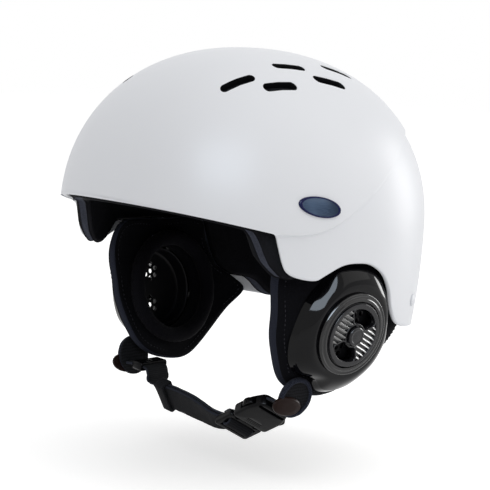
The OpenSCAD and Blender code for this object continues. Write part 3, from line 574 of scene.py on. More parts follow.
def helmetPoint(turn, drop, inset):
    # Turn from the front in radians. Drop 0 is the crown and 1 the widest level, and past 1 it is depth
    # below it in steps of form["below"] mm. The plan is an egg-shaped superellipse and the rise another one
    v = np.minimum(drop, 1) * np.pi / 2
    depth = np.maximum(drop - 1, 0) * form["below"]
    k = (depth / form["tuckDepth"]) ** 2
    r = np.sin(v) ** (2 / form["rise"])
    x, y = planOf(turn, form["halfW"] - inset, form["halfL"] - inset)
    tuck = np.where(power(np.cos(turn), 2 / form["plan"]) > 0, form["tuckSide"], form["tuckRear"])
    z = (form["crown"] - inset) * np.clip(np.cos(v), 0, 1) ** (2 / form["rise"]) - depth
    return stacked(x * r * (1 - form["tuckSide"] * k), y * r * (1 - tuck * k), z)


def pace(turn, drop, inset):  # millimetres of surface for one unit of drop
    step = 1e-3
    below, above = helmetPoint(turn, drop + step, inset), helmetPoint(turn, drop - step, inset)
    return np.linalg.norm(below - above, axis=-1) / (2 * step)


def rounded(line, reach, step=0.25):  # [back, up] line with corners rounded by a running mean over its length
    p = evenly(line, int(lengths(line).sum() / step))
    n = max(1, int(reach / step))
    q = np.vstack([np.repeat(p[:1], n, 0), p, np.repeat(p[-1:], n, 0)])
    kernel = np.ones(n + 1) / (n + 1)
    return np.stack([np.convolve(q[:, k], kernel, "same")[n:-n] for k in (0, 1)], 1)


def dropAt(turn, line, inset):
    # First drop at which the surface passes below a side line, found on a fine row of drops
    drops = np.linspace(0.02, 1.52, 1600)
    p = helmetPoint(turn[:, None], drops[None, :], inset)
    gap = p[..., 2] - np.interp(p[..., 1], line[:, 0], line[:, 1])
    i = np.maximum(np.argmax(gap < 0, 1), 1)
    n = np.arange(len(turn))
    a, b = gap[n, i - 1], gap[n, i]
    return drops[i - 1] + (drops[i] - drops[i - 1]) * a / (a - b)


def turnsAlong(line, inset, count, share=0.6):
    # Turns that crowd where the lower edge is long: even steps of its length mixed with even turns
    fine = np.linspace(0, 2 * np.pi, 1441)
    run = runAlong(helmetPoint(fine, dropAt(fine, line, inset), inset))
    mixed = share * run / run[-1] + (1 - share) * fine / fine[-1]
    return np.interp(np.arange(count) / count, mixed, fine)


earAt = {"x": 96.9, "y": 4.3, "depth": 60.7, "tilt": 11.0, "toe": 3.6}
earTurn = rotateAbout("Z", -earAt["toe"]) @ rotateAbout("Y", 90 + earAt["tilt"])


def atEar(p):  # from the ear's own directions (x down, y back, z out) to the helmet's
    return p @ earTurn.T + np.array([earAt["x"], earAt["y"], -earAt["depth"]])


# Lower edges as [back, up] lines: visor, lobe before the ear, arch over it, and nape
visorSlope = (16 - 3.7) / (118 - 6 - 62.5)
lobe = [[-62.5, 3.7], [-57.2, -14.8], [-52.5, -20.8], [-42.5, -24], [-33.5, -24.8], [-27.5, -22.3]]
arch = [[earAt["y"] + (r + 3.5) * np.cos(np.radians(a)), -earAt["depth"] + (r + 3.5) * np.sin(np.radians(a))]
        for a, r in ((112, 43.6), (95, 41), (79, 39.8), (60, 37.9), (42, 34.8), (23, 31.7), (6, 36))]
sideEdge = smoothLine(lobe + arch + [[53.3, -60.7]], 8)
shellEdge = rounded(np.vstack([[[-124, 16 + visorSlope * 12]], sideEdge, [[124, -72]], [[150, -72]]]), 3.5)
stepLine = [[-62.5, 3.3], [-40, 3.2], [-18.7, 9], [2.2, 20], [19.5, 30.6], [32.3, 38.5], [58, 54], [84, 62],
            [124, 65]]
capEdge = np.vstack([[[-75, -60]], smoothLine(stepLine, 8)])


def planShare(x, y):
    back = y - form["egg"] * (y / form["halfL"]) ** 2
    p = form["plan"]
    return ((np.abs(x) / form["halfW"]) ** p + (np.abs(back) / form["halfL"]) ** p) ** (1 / p)


def crownZ(x, y):
    return form["crown"] * (1 - planShare(x, y) ** form["rise"]) ** (1 / form["rise"])


def crownNormal(x, y):
    dx, dy = crownZ(x + 0.5, y) - crownZ(x - 0.5, y), crownZ(x, y + 0.5) - crownZ(x, y - 0.5)
    return unit(np.stack([-dx, -dy, np.ones_like(dx)], -1))


# ---- shell. The cap's step is [along, share of its height] and the vents' flare is [wider, higher] in mm
shell = {"columns": 420, "rowsCap": 46, "rowsSide": 30, "rowsInside": 26, "pole": 0.015, "crowd": 1.15,
         "stepAcross": 0.75, "stepFrom": 0.9, "stepTo": 2.3,
         "step": ((-0.6, 0.02), (-0.3, 0.09), (-0.05, 0.22), (0.15, 0.42), (0.35, 0.64),
                  (0.6, 0.83), (0.95, 0.94), (1.5, 1))}
vents = {"long": 23.0, "wide": 6.0, "pitch": 21.4, "front": 53.6, "inner": 47.5, "outer": 62.3, "toe": 13.0,
         "flare": ((1.6, 3.0), (1.0, 0.5), (0.5, 0.04), (0.28, -0.10), (0.1, -0.34), (0, -0.8), (0, -9)),
         "above": 72, "upright": 0.5}


def makeShell(s):
    # Rows run from the crown to the cap's edge, over its step, down to the lower edge, round the rim and
    # back up inside. Each row is a drop and an inset for every turn
    turn = turnsAlong(shellEdge, 0, s["columns"])
    edge = dropAt(turn, shellEdge, 0)
    cap = np.minimum(dropAt(turn, capEdge, 0), edge)
    room = (edge - cap) * pace(turn, edge, 0) / 5
    deep = form["capStep"] * ease(room)
    away = s["stepAcross"] * ease(room + 0.1) / pace(turn, cap, 0)
    rim, rimMm = (form["inside"] - deep) / 2, 1 / pace(turn, edge, 0)
    down = 1 - (1 - np.linspace(s["pole"], 1, s["rowsCap"])) ** s["crowd"]
    rows = [(t * (cap - s["stepFrom"] * away), 0 * deep) for t in down]
    rows += [(cap + along * away, share * deep) for along, share in s["step"]]
    low = edge - rim * rimMm
    start = np.minimum(cap + s["stepTo"] * away, low)
    rows += [(lerp(start, low, t), deep) for t in np.linspace(0, 1, s["rowsSide"])]
    around = np.radians(np.linspace(15, 165, 9))
    rows += [(low + rim * np.sin(a) * rimMm, deep + rim * (1 - np.cos(a))) for a in around]
    rows += [(low * t, form["inside"] + 0 * deep) for t in np.linspace(1, s["pole"], s["rowsInside"])]
    grid = np.stack([helmetPoint(turn, drop, inset) for drop, inset in rows])
    piece = Skin().grid(grid, caps="fan").build("outerShell")
    combine(piece, ventCutter(vents))
    # the vent walls take the dark finish as painted shade
    paintVentShade(piece)
    settle(shadeByAngle(piece, 40), "helmet", "outer_shell", ["white", "dark"], "white_shell")


def ventCutter(s):
    # Ten slots whose outline lies on the shell, flared at the top for a rounded lip: rows of the slot's
    # outline, moved out across the surface and up along its normal
    cutter, a = Skin(), circle(48)
    half = (s["long"] - s["wide"]) / 2
    heading = np.radians(90 - s["toe"])
    for k in range(5):
        x0, y0 = s["outer"] if k % 2 else s["inner"], k * s["pitch"] - s["front"]
        rows = []
        for wider, higher in s["flare"]:
            r = s["wide"] / 2 + wider
            along = np.where(np.cos(a) > 0, half, -half) * (np.abs(np.cos(a)) > 1e-9) + r * np.cos(a)
            over = r * np.sin(a)
            x = x0 + along * np.cos(heading) - over * np.sin(heading)
            y = y0 + along * np.sin(heading) + over * np.cos(heading)
            rows.append(np.stack([x, y, crownZ(x, y)], -1) + higher * crownNormal(x, y))
        for side in ("left", "right"):
            cutter.grid(onSide(side, np.stack(rows)), caps="face")
    return cutter.build("ventCutter")


# Painted shade: the vent walls, though cut through the white shell, take a near-black colour in place of the
# shade inside the slots
def paintVentShade(piece):  # the walls of the vents, which stand across the shell, take the second finish
    middle = faceValues(piece, "center", 3) / mm
    out = crownNormal(middle[:, 0] * 0.99, middle[:, 1] * 0.99)
    across = np.abs((out * faceValues(piece, "normal", 3)).sum(1)) < vents["upright"]
    across &= middle[:, 2] > vents["above"]
    piece.data.polygons.foreach_set("material_index", across.astype(np.int32))


print("shell")
makeShell(shell)


# ---- foam liner, a thick layer inside the shell whose cut edge shows at the temples
linerLine = [[-124, 17 + visorSlope * 12], [-67, 4.7], [-61.7, -13], [-53, -22.8], [-47, -23.8],
             [-42, -22.4], [-36, -16.5], [-30, -10.3], [46.3, -10.3], [54.3, -40], [62, -51], [80, -54],
             [86, -66], [200, -69]]
linerEdge = rounded(linerLine, 4.0)
liner = {"columns": 360, "outer": 4.6, "inner": 16.6, "corner": 2.6, "rowsFace": 34, "rowsEdge": 16,
         "rowsCorner": 7, "welt": 0.9, "weltIn": 0.03, "weltWide": 0.07, "seam": 0.5, "seamIn": 0.16,
         "seamWide": 0.05, "band": 0.12, "uneven": 0.35, "fill": 0.9}


def makeLiner(s):
    # Rows: outer face down, round a corner, across the cut edge with a sewn welt at each side of a bare
    # band, round the other corner and up the inner face
    turn = turnsAlong(linerEdge, s["outer"], s["columns"])
    thick, r = s["inner"] - s["outer"], s["corner"]
    edges = [dropAt(turn, linerEdge, inset) for inset in (s["outer"], s["outer"] + thick / 2, s["inner"])]
    perMm = 1 / pace(turn, edges[1], s["outer"])

    def edgeAt(share):
        return lerp(edges[0], edges[1], 2 * share) if share < 0.5 else lerp(edges[1], edges[2], 2 * share - 1)

    face = np.linspace(0.02, 1, s["rowsFace"])
    quarter = np.radians(np.linspace(12, 90, s["rowsCorner"]))
    corner = [(r * (1 - np.cos(a)), r * (1 - np.sin(a))) for a in quarter]
    across = np.linspace(0.02, 0.98, s["rowsEdge"])
    lift = sum(s["welt"] * bell(across, at, s["weltWide"]) for at in (s["weltIn"], 1 - s["weltIn"]))
    lift = lift - sum(s["seam"] * bell(across, at, s["seamWide"]) for at in (s["seamIn"], 1 - s["seamIn"]))
    rows = [((edges[0] - r * perMm) * t, s["outer"]) for t in face]
    rows += [(edgeAt(deep / thick) - up * perMm, s["outer"] + deep) for deep, up in corner]
    for share, high in zip((r + across * (thick - 2 * r)) / thick, lift):
        rows.append((edgeAt(share) + high * perMm, s["outer"] + share * thick))
    rows += [(edgeAt((thick - deep) / thick) - up * perMm, s["inner"] - deep) for deep, up in corner[::-1]]
    rows += [((edges[2] - r * perMm) * t, s["inner"]) for t in face[::-1]]
    first = s["rowsFace"] + s["rowsCorner"] - 1
    looks = np.zeros(len(rows) - 1, int)
    looks[first:first + len(across)] = (across >= s["band"]) & (across <= 1 - s["band"])
    grid = np.stack([helmetPoint(turn, drop, inset + 0 * turn) for drop, inset in rows])
    inner = np.arange(len(grid)) > first + len(across) - 2
    grid[inner] += (s["uneven"] * ripple(grid[inner], 30, 5))[..., None] * unit(grid[inner])
    piece = Skin().grid(grid, caps="fan", looks=looks, uv=(1.4, 2.0)).build("foamLiner")
    settle(piece, "helmet", "foam_liner", ["foam", "edgeFoam"], "liner_foam", s["fill"])


print("liner")
makeLiner(liner)


# ---- comfort pads: crowned pillows that lie on the liner, sewn round their edge
def pillow(place, halfWide, halfHigh, square, s):
    # Polar grid over a superellipse. The two faces are at the liner and toward the head, and their
    # thickness follows a circle's arc near the edge, pinched at the sewn channel
    a = circle(64)
    share = np.sin(np.linspace(0.02, 0.5, 22) * np.pi)
    edge = np.stack([halfWide * power(np.cos(a), square), halfHigh * power(np.sin(a), square)], -1)
    ring = np.concatenate([share, share[-2::-1]])
    face = np.repeat([-1, 1], [len(share), len(share) - 1])
    channel = 1 - s["channel"] * bell(ring, s["channelAt"], 0.035)
    swell = face * np.sqrt(np.clip(1 - ring ** 6, 0, 1)) * channel
    flat, swell = ring[:, None, None] * edge[None], np.broadcast_to(swell[:, None], (len(ring), len(a)))
    middle = (s["outer"] + s["inner"]) / 2
    reach = np.where(swell < 0, middle - s["outer"], (s["inner"] - middle) * 1.05)
    p = place(flat[..., 0], flat[..., 1], middle + swell * reach)
    return p + (s["uneven"] * ripple(p, 11, s["seed"]) * (swell > 0.3))[..., None] * unit(p), flat


def heightShare(z, inset):
    return (1 - np.clip(np.abs(z) / (form["crown"] - inset), 0, 0.999) ** form["rise"]) ** (1 / form["rise"])


def endPoint(x, z, inset, share, toRear, tuck=0):
    # On the front or the rear, from a sideways place and a height
    s = np.clip(np.abs(x) / share / (form["halfW"] - inset), 0, 1)
    c = (1 - s ** form["plan"]) ** (1 / form["plan"])
    y = form["egg"] * c * c + toRear * (form["halfL"] - inset) * c
    return np.stack([x, y * (share if toRear < 0 else 1 - tuck), z], -1)


def browPlace(x, up, inset):
    z = up + pads["browUp"]
    return endPoint(x, z, inset, heightShare(z, inset), -1)


def napePlace(x, up, inset):
    z = up - pads["napeDown"]
    k = (z / form["tuckDepth"]) ** 2
    return endPoint(x, z, inset, 1 - form["tuckSide"] * k, 1, form["tuckRear"] * k)


def crownPlace(x, y, inset):
    plan = stacked(*planOf(np.arctan2(x, -y), form["halfW"] - inset, form["halfL"] - inset))
    r = np.clip(np.hypot(x, y) / np.linalg.norm(plan, axis=-1), 0, 1)
    z = (form["crown"] - inset) * (1 - r ** form["rise"]) ** (1 / form["rise"])
    return np.concatenate([plan * r[..., None], z[..., None]], -1)


def sideX(y, z, inset):
    r = heightShare(z, inset)
    c = (y / r - form["egg"] * (y / r / form["halfL"]) ** 2) / (form["halfL"] - inset)
    return (form["halfW"] - inset) * r * (1 - np.abs(c) ** form["plan"]) ** (1 / form["plan"])


def sidePlace(back, up, inset):
    y, z = back + pads["sideBack"], up + pads["sideUp"]
    return np.stack([sideX(y, z, inset), y, z], -1)


pads = {"outer": 17.0, "inner": 21.0, "channel": 0.45, "channelAt": 0.84, "uneven": 0.22, "fill": 0.7,
        "seed": 11, "browUp": 38, "napeDown": 26, "sideBack": 8, "sideUp": 26.3,
        "places": [("browPad", "brow_pad", browPlace, 64, 14, 0.45),
                   ("crownPad", "crown_pad", crownPlace, 40, 40, 1.0),
                   ("napePad", "nape_pad", napePlace, 48, 21, 0.45),
                   ("leftSidePad", "left_side_pad", sidePlace, 26, 26, 1.0),
                   ("rightSidePad", "right_side_pad", sidePlace, 26, 26, 1.0)]}
print("comfort pads")
for name, node, place, halfWide, halfHigh, square in pads["places"]:
    grid, flat = pillow(place, halfWide, halfHigh, square, pads)
    grid = mirrored(grid) if name.startswith("right") else grid
    piece = Skin().grid(grid, caps="fan", uv=flat).build(name)
    settle(piece, "helmet", node, ["pad"], "pad_fabric", pads["fill"])


# ---- ear flaps: a stuffed cloth ring with a taped edge. Band and groove places are degrees round the section
flapPoints = [[-47, -36.5], [-33, -48.8], [-8, -47.2], [6, -45.5], [20, -40.5], [31, -35], [38, -29],
              [43.6, -20], [47.3, -8], [48.8, 4], [46.8, 14], [41.5, 24], [33, 36], [20, 52], [8, 66.5],
              [-2, 60], [-12, 48], [-28, 40.5], [-45, 34], [-46.5, 0]]
flapOutline = evenly(smoothLoop(flapPoints, 20), 340, True)
flap = {"thick": 10.0, "hole": 28.0, "low": -17.4, "curl": 4.0, "curlFrom": 38.0, "curlOver": 20,
        "edgeDrop": 3.0, "sides": 56, "square": 0.6, "spread": 0.55, "tape": 0.5, "tapeTo": 20,
        "groove": 0.45, "grooveAt": 24, "dent": 0.05, "dentAt": 38, "uneven": 0.28, "fill": 0.8,
        "stitchIn": 4.2, "stitchLong": 1.9, "stitchThick": 0.28, "stitchEvery": 3.0, "stitchDip": 0.3}


def curl(q):
    past = np.maximum(0, np.linalg.norm(q, axis=-1) - flap["curlFrom"])
    return -flap["curl"] * (past / flap["curlOver"]) ** 2


def flapGrid(side):
    # For each angle round the section: out from the ear hole's edge to the outline and back, with a
    # squarish lift, a taped band that stands proud at the outer wall and a groove each side of it
    s, a = flap, circle(flap["sides"])
    wall = np.degrees(np.abs(np.angle(np.exp(1j * a))))
    share = 0.5 + 0.5 * power(np.cos(a), s["spread"])
    proud = s["tape"] * ease((s["tapeTo"] - wall) / 4) - s["groove"] * bell(wall, s["grooveAt"], 4)
    dent = 1 - s["dent"] * bell(wall, s["dentAt"], 9)
    lift = s["thick"] / 2 * power(np.sin(a), s["square"])[:, None] * dent[:, None]
    q = lerp(s["hole"] * unit(flapOutline)[None], flapOutline[None], share[:, None, None])
    q = q + unit(flapOutline)[None] * proud[:, None, None]
    z = lift + s["low"] - s["edgeDrop"] * share[:, None] ** 4 + curl(q)
    p = np.concatenate([q, z[..., None]], -1)
    soft = s["uneven"] * ripple(p, 16, 3) * np.clip((wall - 25) / 25, 0, 1)[:, None] * np.sign(lift)
    p[..., 2] += np.clip(soft, -0.6, 0.35)
    run = lengths(closedLine(flapOutline)).sum() / len(flapOutline)
    yield atEar(p), {"wrapRows": True, "uv": (run, 0.9), "looks": (wall < s["tapeTo"] + 1).astype(int)}
    for face in (1, -1):
        yield from stitches(s, face)


def stitches(s, face):
    # One grid for each stitch: a short thread that dips at both ends, along a line inside the outline
    ring = evenly(flapOutline - s["stitchIn"] * unit(flapOutline), 360, True)
    at = evenly(ring, int(lengths(closedLine(ring)).sum() / s["stitchEvery"]), True)
    way = unit(np.roll(at, -1, 0) - np.roll(at, 1, 0))
    over = np.stack([-way[:, 1], way[:, 0]], 1)
    t, b = np.linspace(-1, 1, 5), circle(6)
    along = t * s["stitchLong"] / 2
    fat = s["stitchThick"] * np.array([0.4, 1, 1.1, 1, 0.4])[:, None]
    q = at[:, None, None] + way[:, None, None] * along[None, :, None, None]
    q = q + over[:, None, None] * (fat * np.cos(b))[None, ..., None]
    reach = np.linalg.norm(at, axis=1)
    share = ((reach - s["hole"]) / (reach - s["hole"] + s["stitchIn"]))[:, None, None]
    lean = np.clip(2 * share - 1, 0, 1) ** (1 / s["spread"])
    rise = face * s["thick"] / 2 * (1 - lean ** 2) ** (s["square"] / 2) - s["edgeDrop"] * share ** 4
    over = 0.05 + (fat * np.sin(b))[None] - s["stitchDip"] * t[None, :, None] ** 2
    z = s["low"] + curl(q) + rise + face * over
    for one in atEar(np.concatenate([q, z[..., None]], -1)):
        yield one, {"caps": "face", "looks": 2}


print("ear flaps")
flapLooks = ["flap", "tape", "thread"]
sideBySide("EarFlap", flapGrid, "{side}_ear_flap", flapLooks, "flap_fabric", soft=flap["fill"])


# ---- padded rings round the ears
ring = {"radius": 33.2, "tube": 5.2, "z": -28.0, "seam": 0.5, "seamAt": 0.35, "pucker": 0.22, "puckers": 46,
        "uneven": 0.14, "fill": 0.75}


def ringGrid(side):
    # Torus with a sewn seam on its outer side and fine puckers that fade away from the seam
    s, a, b = ring, circle(240)[None], circle(48)[:, None]
    fromSeam = np.angle(np.exp(1j * (b - s["seamAt"])))
    folds = np.sin(a * s["puckers"] + 1.5 * np.sin(5 * a))
    base = stacked(s["radius"] * np.cos(a), s["radius"] * np.sin(a), 0 * b)
    r = s["tube"] - 0.25 - s["seam"] * bell(fromSeam, 0, 0.16) + s["pucker"] * bell(fromSeam, 0, 0.8) * folds
    r = r + s["uneven"] * ripple(base, 14, 8)
    out = s["radius"] + r * np.cos(b)
    p = stacked(out * np.cos(a), out * np.sin(a), s["z"] + r * np.sin(b))
    yield atEar(p), {"wrapRows": True, "uv": (0.87, 0.68)}


print("ring pads")
sideBySide("RingPad", ringGrid, "{side}_ring_pad", ["pad"], "pad_fabric", soft=ring["fill"])


# ---- glossy ear covers with a creased rim, cut by two ports
coverPoints = [[-43.5, -10], [-30.5, -22], [-23.5, -28.5], [-14, -33.8], [0, -37.8], [10, -38.5],
               [20, -36], [28, -28.5], [33, -16], [41, -9], [43.5, 0], [43, 8], [40.5, 17], [34, 28],
               [26, 36], [12, 41.5], [-2, 39], [-16.5, 37.5], [-30.5, 30.5], [-43, 17]]
coverOutline = evenly(smoothLoop(coverPoints, 20), 320, True)
cover = {"high": 12.0, "wall": 2.4, "seat": 29.0, "band": 0.2, "bandHigh": 0.40, "crease": 0.012,
         "near": 0.035, "bore": 3.0, "cut": (-6, 6), "portIn": 7.8, "portOut": 17.2, "portSpan": 86.0,
         "portCorner": 2.4, "turned": {"left": 152.0, "right": 172.0}}


def coverGrid(side):
    # Rows: seat, dome, creased band, round the rim and back inside. Height against the share of the way
    # in from the rim is a straight band and then a quarter wave
    s, out = cover, unit(coverOutline)
    crease = s["band"] + s["crease"] * np.array([1, 0, -1])
    dome, band = np.linspace(1, s["band"] + s["near"], 30), np.linspace(s["band"] - s["near"], 0.03, 8)
    share = np.concatenate([dome, crease, band])

    def wave(v):
        arc = np.sin(np.pi / 2 * np.clip((v - s["band"]) / (1 - s["band"]), 0, 1)) ** 0.97
        straight, curved = s["bandHigh"] * v / s["band"], s["bandHigh"] + (1 - s["bandHigh"]) * arc
        return np.where(v < s["band"], straight, curved)

    def skin(v, drop):
        q = lerp((coverOutline - drop * out)[None], (s["seat"] - 0.15 * drop) * out[None], v[:, None, None])
        low = curl(coverOutline) - s["high"]
        return np.concatenate([q, lerp(low[None], -drop, wave(v)[:, None])[..., None]], -1)

    flat = np.array([0.25, 0.5, 0.75, 0.9])[:, None, None] * skin(share[:1], 0) * [1, 1, 0]
    back = flat[::-1] * [0.98, 0.98, 1] - [0, 0, s["wall"]]
    lip, under = (skin(np.array([0.0]), drop)[0] for drop in (0, s["wall"]))
    centre, half, bulge = (lip + under) / 2, (lip - under) / 2, np.array([0, 0, s["wall"] / 2 * 0.45])
    rim = np.stack([centre + half * np.cos(a) - bulge * np.sin(a) for a in np.linspace(0, np.pi, 7)[1:-1]])
    outside, inside = skin(share, 0), skin(share[::-1], s["wall"])
    grid = np.concatenate([flat, outside, lip[None], rim, under[None], inside, back])
    yield atEar(grid), {"caps": "fan"}


def portOutline(turned, margin=0.0):
    # Sector of a ring with rounded corners, grown by a margin: four corner arcs and two long arcs between
    s = cover
    half, r = np.radians(s["portSpan"] / 2), s["portCorner"]
    line = []
    for end, sign in ((1, -1), (1, 1), (-1, 1), (-1, -1)):
        at = s["portOut"] - r if end > 0 else s["portIn"] + r
        lean = sign * (half - np.arcsin(r / at))
        flat, radial = sign * (half + np.pi / 2), lean + (0 if end > 0 else sign * np.pi)
        a = np.linspace(flat, radial, 9) if sign * end < 0 else np.linspace(radial, flat, 9)
        line.append(at * round2([lean]) + (r + margin) * round2(a))
        if sign * end < 0:
            line.append((at + end * (r + margin)) * round2(np.linspace(lean, -lean, 26)[1:-1]))
    return np.vstack(line) @ rotateAbout("Z", turned)[:2, :2].T


def cutTools(piece, tools, place):
    skin = Skin()
    for tool in tools:
        skin.grid(place(tool), caps="face")
    combine(piece, skin.build("cutter"))


def cutPorts(s):
    def cutOne(piece, side):
        tools = [prism(portOutline(cover["turned"][side] + half), s["cut"]) for half in (0, 180)]
        bore = lathe([[s["bore"], z] for z in s["cut"]], 48)
        cutTools(piece, tools + [bore], lambda p: onSide(side, atEar(p)))
    return cutOne


print("ear covers")
sideBySide("EarCover", coverGrid, "{side}_ear_cover", ["gloss"], "gloss_black", 28, after=cutPorts(cover))


# ---- vent dials: bezel, turning disc with slats and ports, and the hub's cap
dial = {"radius": 20.8, "low": 0.4, "thick": 2.0, "rim": 3.2, "rimIn": 0.4, "slatPitch": 3.0, "slatWide": 1.5,
        "slatHigh": 1.4, "slats": 8, "portRim": 1.0, "hub": 6.0, "hubZ": 4.2, "bore": 3.05, "cut": (-2, 9),
        "bezel": [[21.2, 1.2], [21.2, 2.3], [21.7, 2.95], [23.2, 3.0], [23.8, 2.45], [24.6, 2.3], [25.3, 2.6],
                  [26.1, 2.4], [26.6, 1.4], [26.6, 0], [21.2, 0], [21.2, 1.2]]}
cap = [[0.3, -3.2], [3, -3.4], [3, 0], [6, 0], [6, 1.3], [5.1, 2.1], [4.4, 2.0], [4.0, 1.75], [0.3, 2.05]]


def bezelGrid(side):
    yield atEar(lathe(softened(dial["bezel"], 0.3)[:-1], 180)), {"wrapRows": True}


def discGrid(side):
    s, top = dial, dial["low"] + dial["thick"]
    profile = [[0.5, s["low"]], [s["radius"], s["low"]], [s["radius"], top], [0.5, top]]
    yield atEar(lathe(softened(profile, 0.3), 160)), {"caps": "fan"}


def slatGrids(side):
    # Raised rim, walls round the ports and the hub, and slats: rounded bars as a section along a line
    s, top = dial, dial["low"] + dial["thick"] - 0.3
    high, wide, turned = top + s["slatHigh"] + 0.3, s["slatWide"] / 2, cover["turned"][side]

    def wallOf(a, b, soft):
        return softened([[a, top + 0.5], [a, high], [b, high], [b, top], [a, top], [a, top + 0.5]], soft)[:-1]

    for r0, r1 in ((s["radius"] - s["rim"], s["radius"] - s["rimIn"]), (s["hub"] + 0.7, cover["portIn"])):
        yield atEar(lathe(wallOf(r0, r1, 0.35), 120)), {"wrapRows": True}
    wall = wallOf(0, 1, 0.3)
    for half in (0, 180):
        inner, outer = (portOutline(turned + half, margin) for margin in (0.0, s["portRim"]))
        line = lerp(inner[None], outer[None], wall[:, :1, None])
        yield atEar(stacked(line[..., 0], line[..., 1], wall[:, 1:])), {"wrapRows": True}
    section = softened([[0, top], [-wide - 0.1, top], [-wide, high], [-wide + 0.4, high],
                        [wide + 0.55, top + 0.35], [wide + 0.55, top], [0, top]], 0.2)[:-1]
    for k in range(s["slats"]):
        x = (k - (s["slats"] - 1) / 2) * s["slatPitch"]
        hub = np.sqrt(max((cover["portIn"] - 0.3) ** 2 - x * x, 0))
        inner = max(hub, (abs(x) - wide) * np.tan(np.radians(90 - cover["portSpan"] / 2)) + 0.6)
        outer = np.sqrt((s["radius"] - s["rim"] + 0.4) ** 2 - x * x)
        for way in (1, -1) if outer > inner + 1 else ():
            y = np.array([inner, inner + 0.3, outer - 0.3, outer])[:, None] * way
            bar = stacked(x - way * section[:, 0], y, section[:, 1])[:, ::-way]
            # the slats take the lighter slat finish, partly a painted highlight
            yield atEar(bar @ rotateAbout("Z", turned).T), {"caps": "face", "looks": 1}


def hubGrid(side):
    profile = np.array(cap) + [0, dial["hubZ"]] * (np.arange(len(cap)) > 1)[:, None]
    yield atEar(lathe(softened(profile, 0.3), 96)), {"caps": "fan"}


print("dials")
sideBySide("VentBezel", bezelGrid, "{side}_vent_bezel", ["bezel"], "dial_grey", 50)
for side in ("left", "right"):
    turning = {"node": side + "_vent_dial", "slot": "dial_grey", "body": side + "_dial"}
    sidePiece(side, "DialDisc", discGrid, looks=["dial"], angle=30, after=cutPorts(dial), **turning)
    sidePiece(side, "DialSlats", slatGrids, looks=["dial", "slat"], angle=40, **turning)
sideBySide("HubCap", hubGrid, "{side}_hub_pin", ["dial"], "dial_grey", 50)


# ---- bare oval badges and the rivets
badge = {"long": 30.0, "high": 12.0, "front": 34.0, "up": 19.4, "lean": 10.0, "sunk": 0.1, "faceRows": 6,
         "share": [0.04, 0.2, 0.4, 0.6, 0.74, 0.82, 0.86, 0.88, 0.91, 0.95, 0.985, 1.0, 1.0, 0.6],
         "height": [1.25, 1.25, 1.2, 1.12, 1.02, 0.96, 0.94, 1.15, 1.28, 1.25, 1.05, 0.7, 0.05, 0.1]}
rivet = {"turn": 122, "depth": 46.0, "inset": 1.6,
         "profile": [[0.2, 1.62], [1.6, 1.55], [2.9, 1.3], [3.6, 0.85], [3.9, 0.45], [3.9, 0.05], [0.2, 0.0]]}


def badgeGrid(side):
    # Ovals of changing share on the cap's side: a domed face inside a raised rim
    s, a, lean = badge, circle(96), np.radians(badge["lean"])
    share, high = np.array(s["share"])[:, None], np.array(s["height"])[:, None]
    back, up = share * s["long"] / 2 * np.cos(a), share * s["high"] / 2 * np.sin(a)
    y = back * np.cos(lean) + up * np.sin(lean) - s["front"]
    z = s["up"] - back * np.sin(lean) + up * np.cos(lean)
    looks = (np.arange(len(share) - 1) >= s["faceRows"]).astype(int)
    yield np.stack([sideX(y, z, 0) + high - s["sunk"], y, z], -1), {"caps": "fan", "looks": looks}


def rivetGrid(side):
    s, turn = rivet, np.radians(rivet["turn"])
    at, ahead, down = (helmetPoint(turn + on, 1 + (s["depth"] + lower) / form["below"], s["inset"])
                       for on, lower in ((0, 0), (0.01, 0), (0, 1)))
    out = unit(np.cross(down - at, ahead - at))
    across = unit(np.cross([0, 0, 1.0], out))
    directions = np.stack([across, np.cross(out, across), out], 1)
    yield lathe(softened(s["profile"]), 64) @ directions.T + at, {"caps": "fan"}


print("badges and rivets")
sideBySide("Badge", badgeGrid, "{side}_badge", ["badgeFace", "badgeRim"], "badge_blue", 40)
sideBySide("ShellRivet", rivetGrid, "shell_rivets", ["white"], "white_shell", 50)


# ---- ear cups: perforated floor and wall
cup = {"profile": [[0.3, -5.6], [24.0, -5.6], [25.6, -6.4], [25.8, -14.8], [26.4, -15.4], [27.1, -15.4],
                   [27.5, -14.8], [27.5, -2.4], [25.5, -2.4], [25.5, -4.4], [24.6, -4.7], [0.3, -4.7]],
       "holeRadius": 1.65, "holesAt": 11.6, "holeRing": 4.8, "cut": (-8, -3)}


def cupGrid(side):
    yield atEar(lathe(softened(cup["profile"], 0.4), 128)), {"caps": "fan"}


def cutSound(piece, side):  # under each port, a hole with six round it
    s, tools = cup, []
    for half in (0, 180):
        a = np.radians(cover["turned"][side] + half)
        middle = s["holesAt"] * round2(a)
        for spot in [middle] + [middle + s["holeRing"] * round2(a + k * np.pi / 3) for k in range(6)]:
            tools.append(lathe([[s["holeRadius"], z] for z in s["cut"]], 24, spot))
    cutTools(piece, tools, lambda p: onSide(side, atEar(p)))


print("ear cups")
sideBySide("EarCup", cupGrid, "{side}_ear_cup", ["dark"], "dark_plastic", 40, after=cutSound)


# ---- strap tabs: round patches of ribbed webbing with a bound rim and an oval cap
tab = {"spot": np.array([43.5, -26.7, -12.0]), "bound": 10.1, "uneven": 0.10,
       "profile": [[0.2, 2.15], [9.6, 2.1], [10.0, 2.4], [10.4, 3.2], [11.4, 3.85], [12.4, 3.55], [13.0, 2.6],
                   [13.0, 0.6], [12.6, 0.0], [0.2, 0.0]],
       "capProfile": [[0.05, 3.4], [0.5, 3.3], [0.85, 2.7], [1.0, 1.7], [1.0, 0.4], [0.9, 0.0], [0.05, 0.0]],
       "capHalf": (6.2, 11.6, 1), "capTurn": -12, "capAt": np.array([4.6, -6.6, 1.6])}


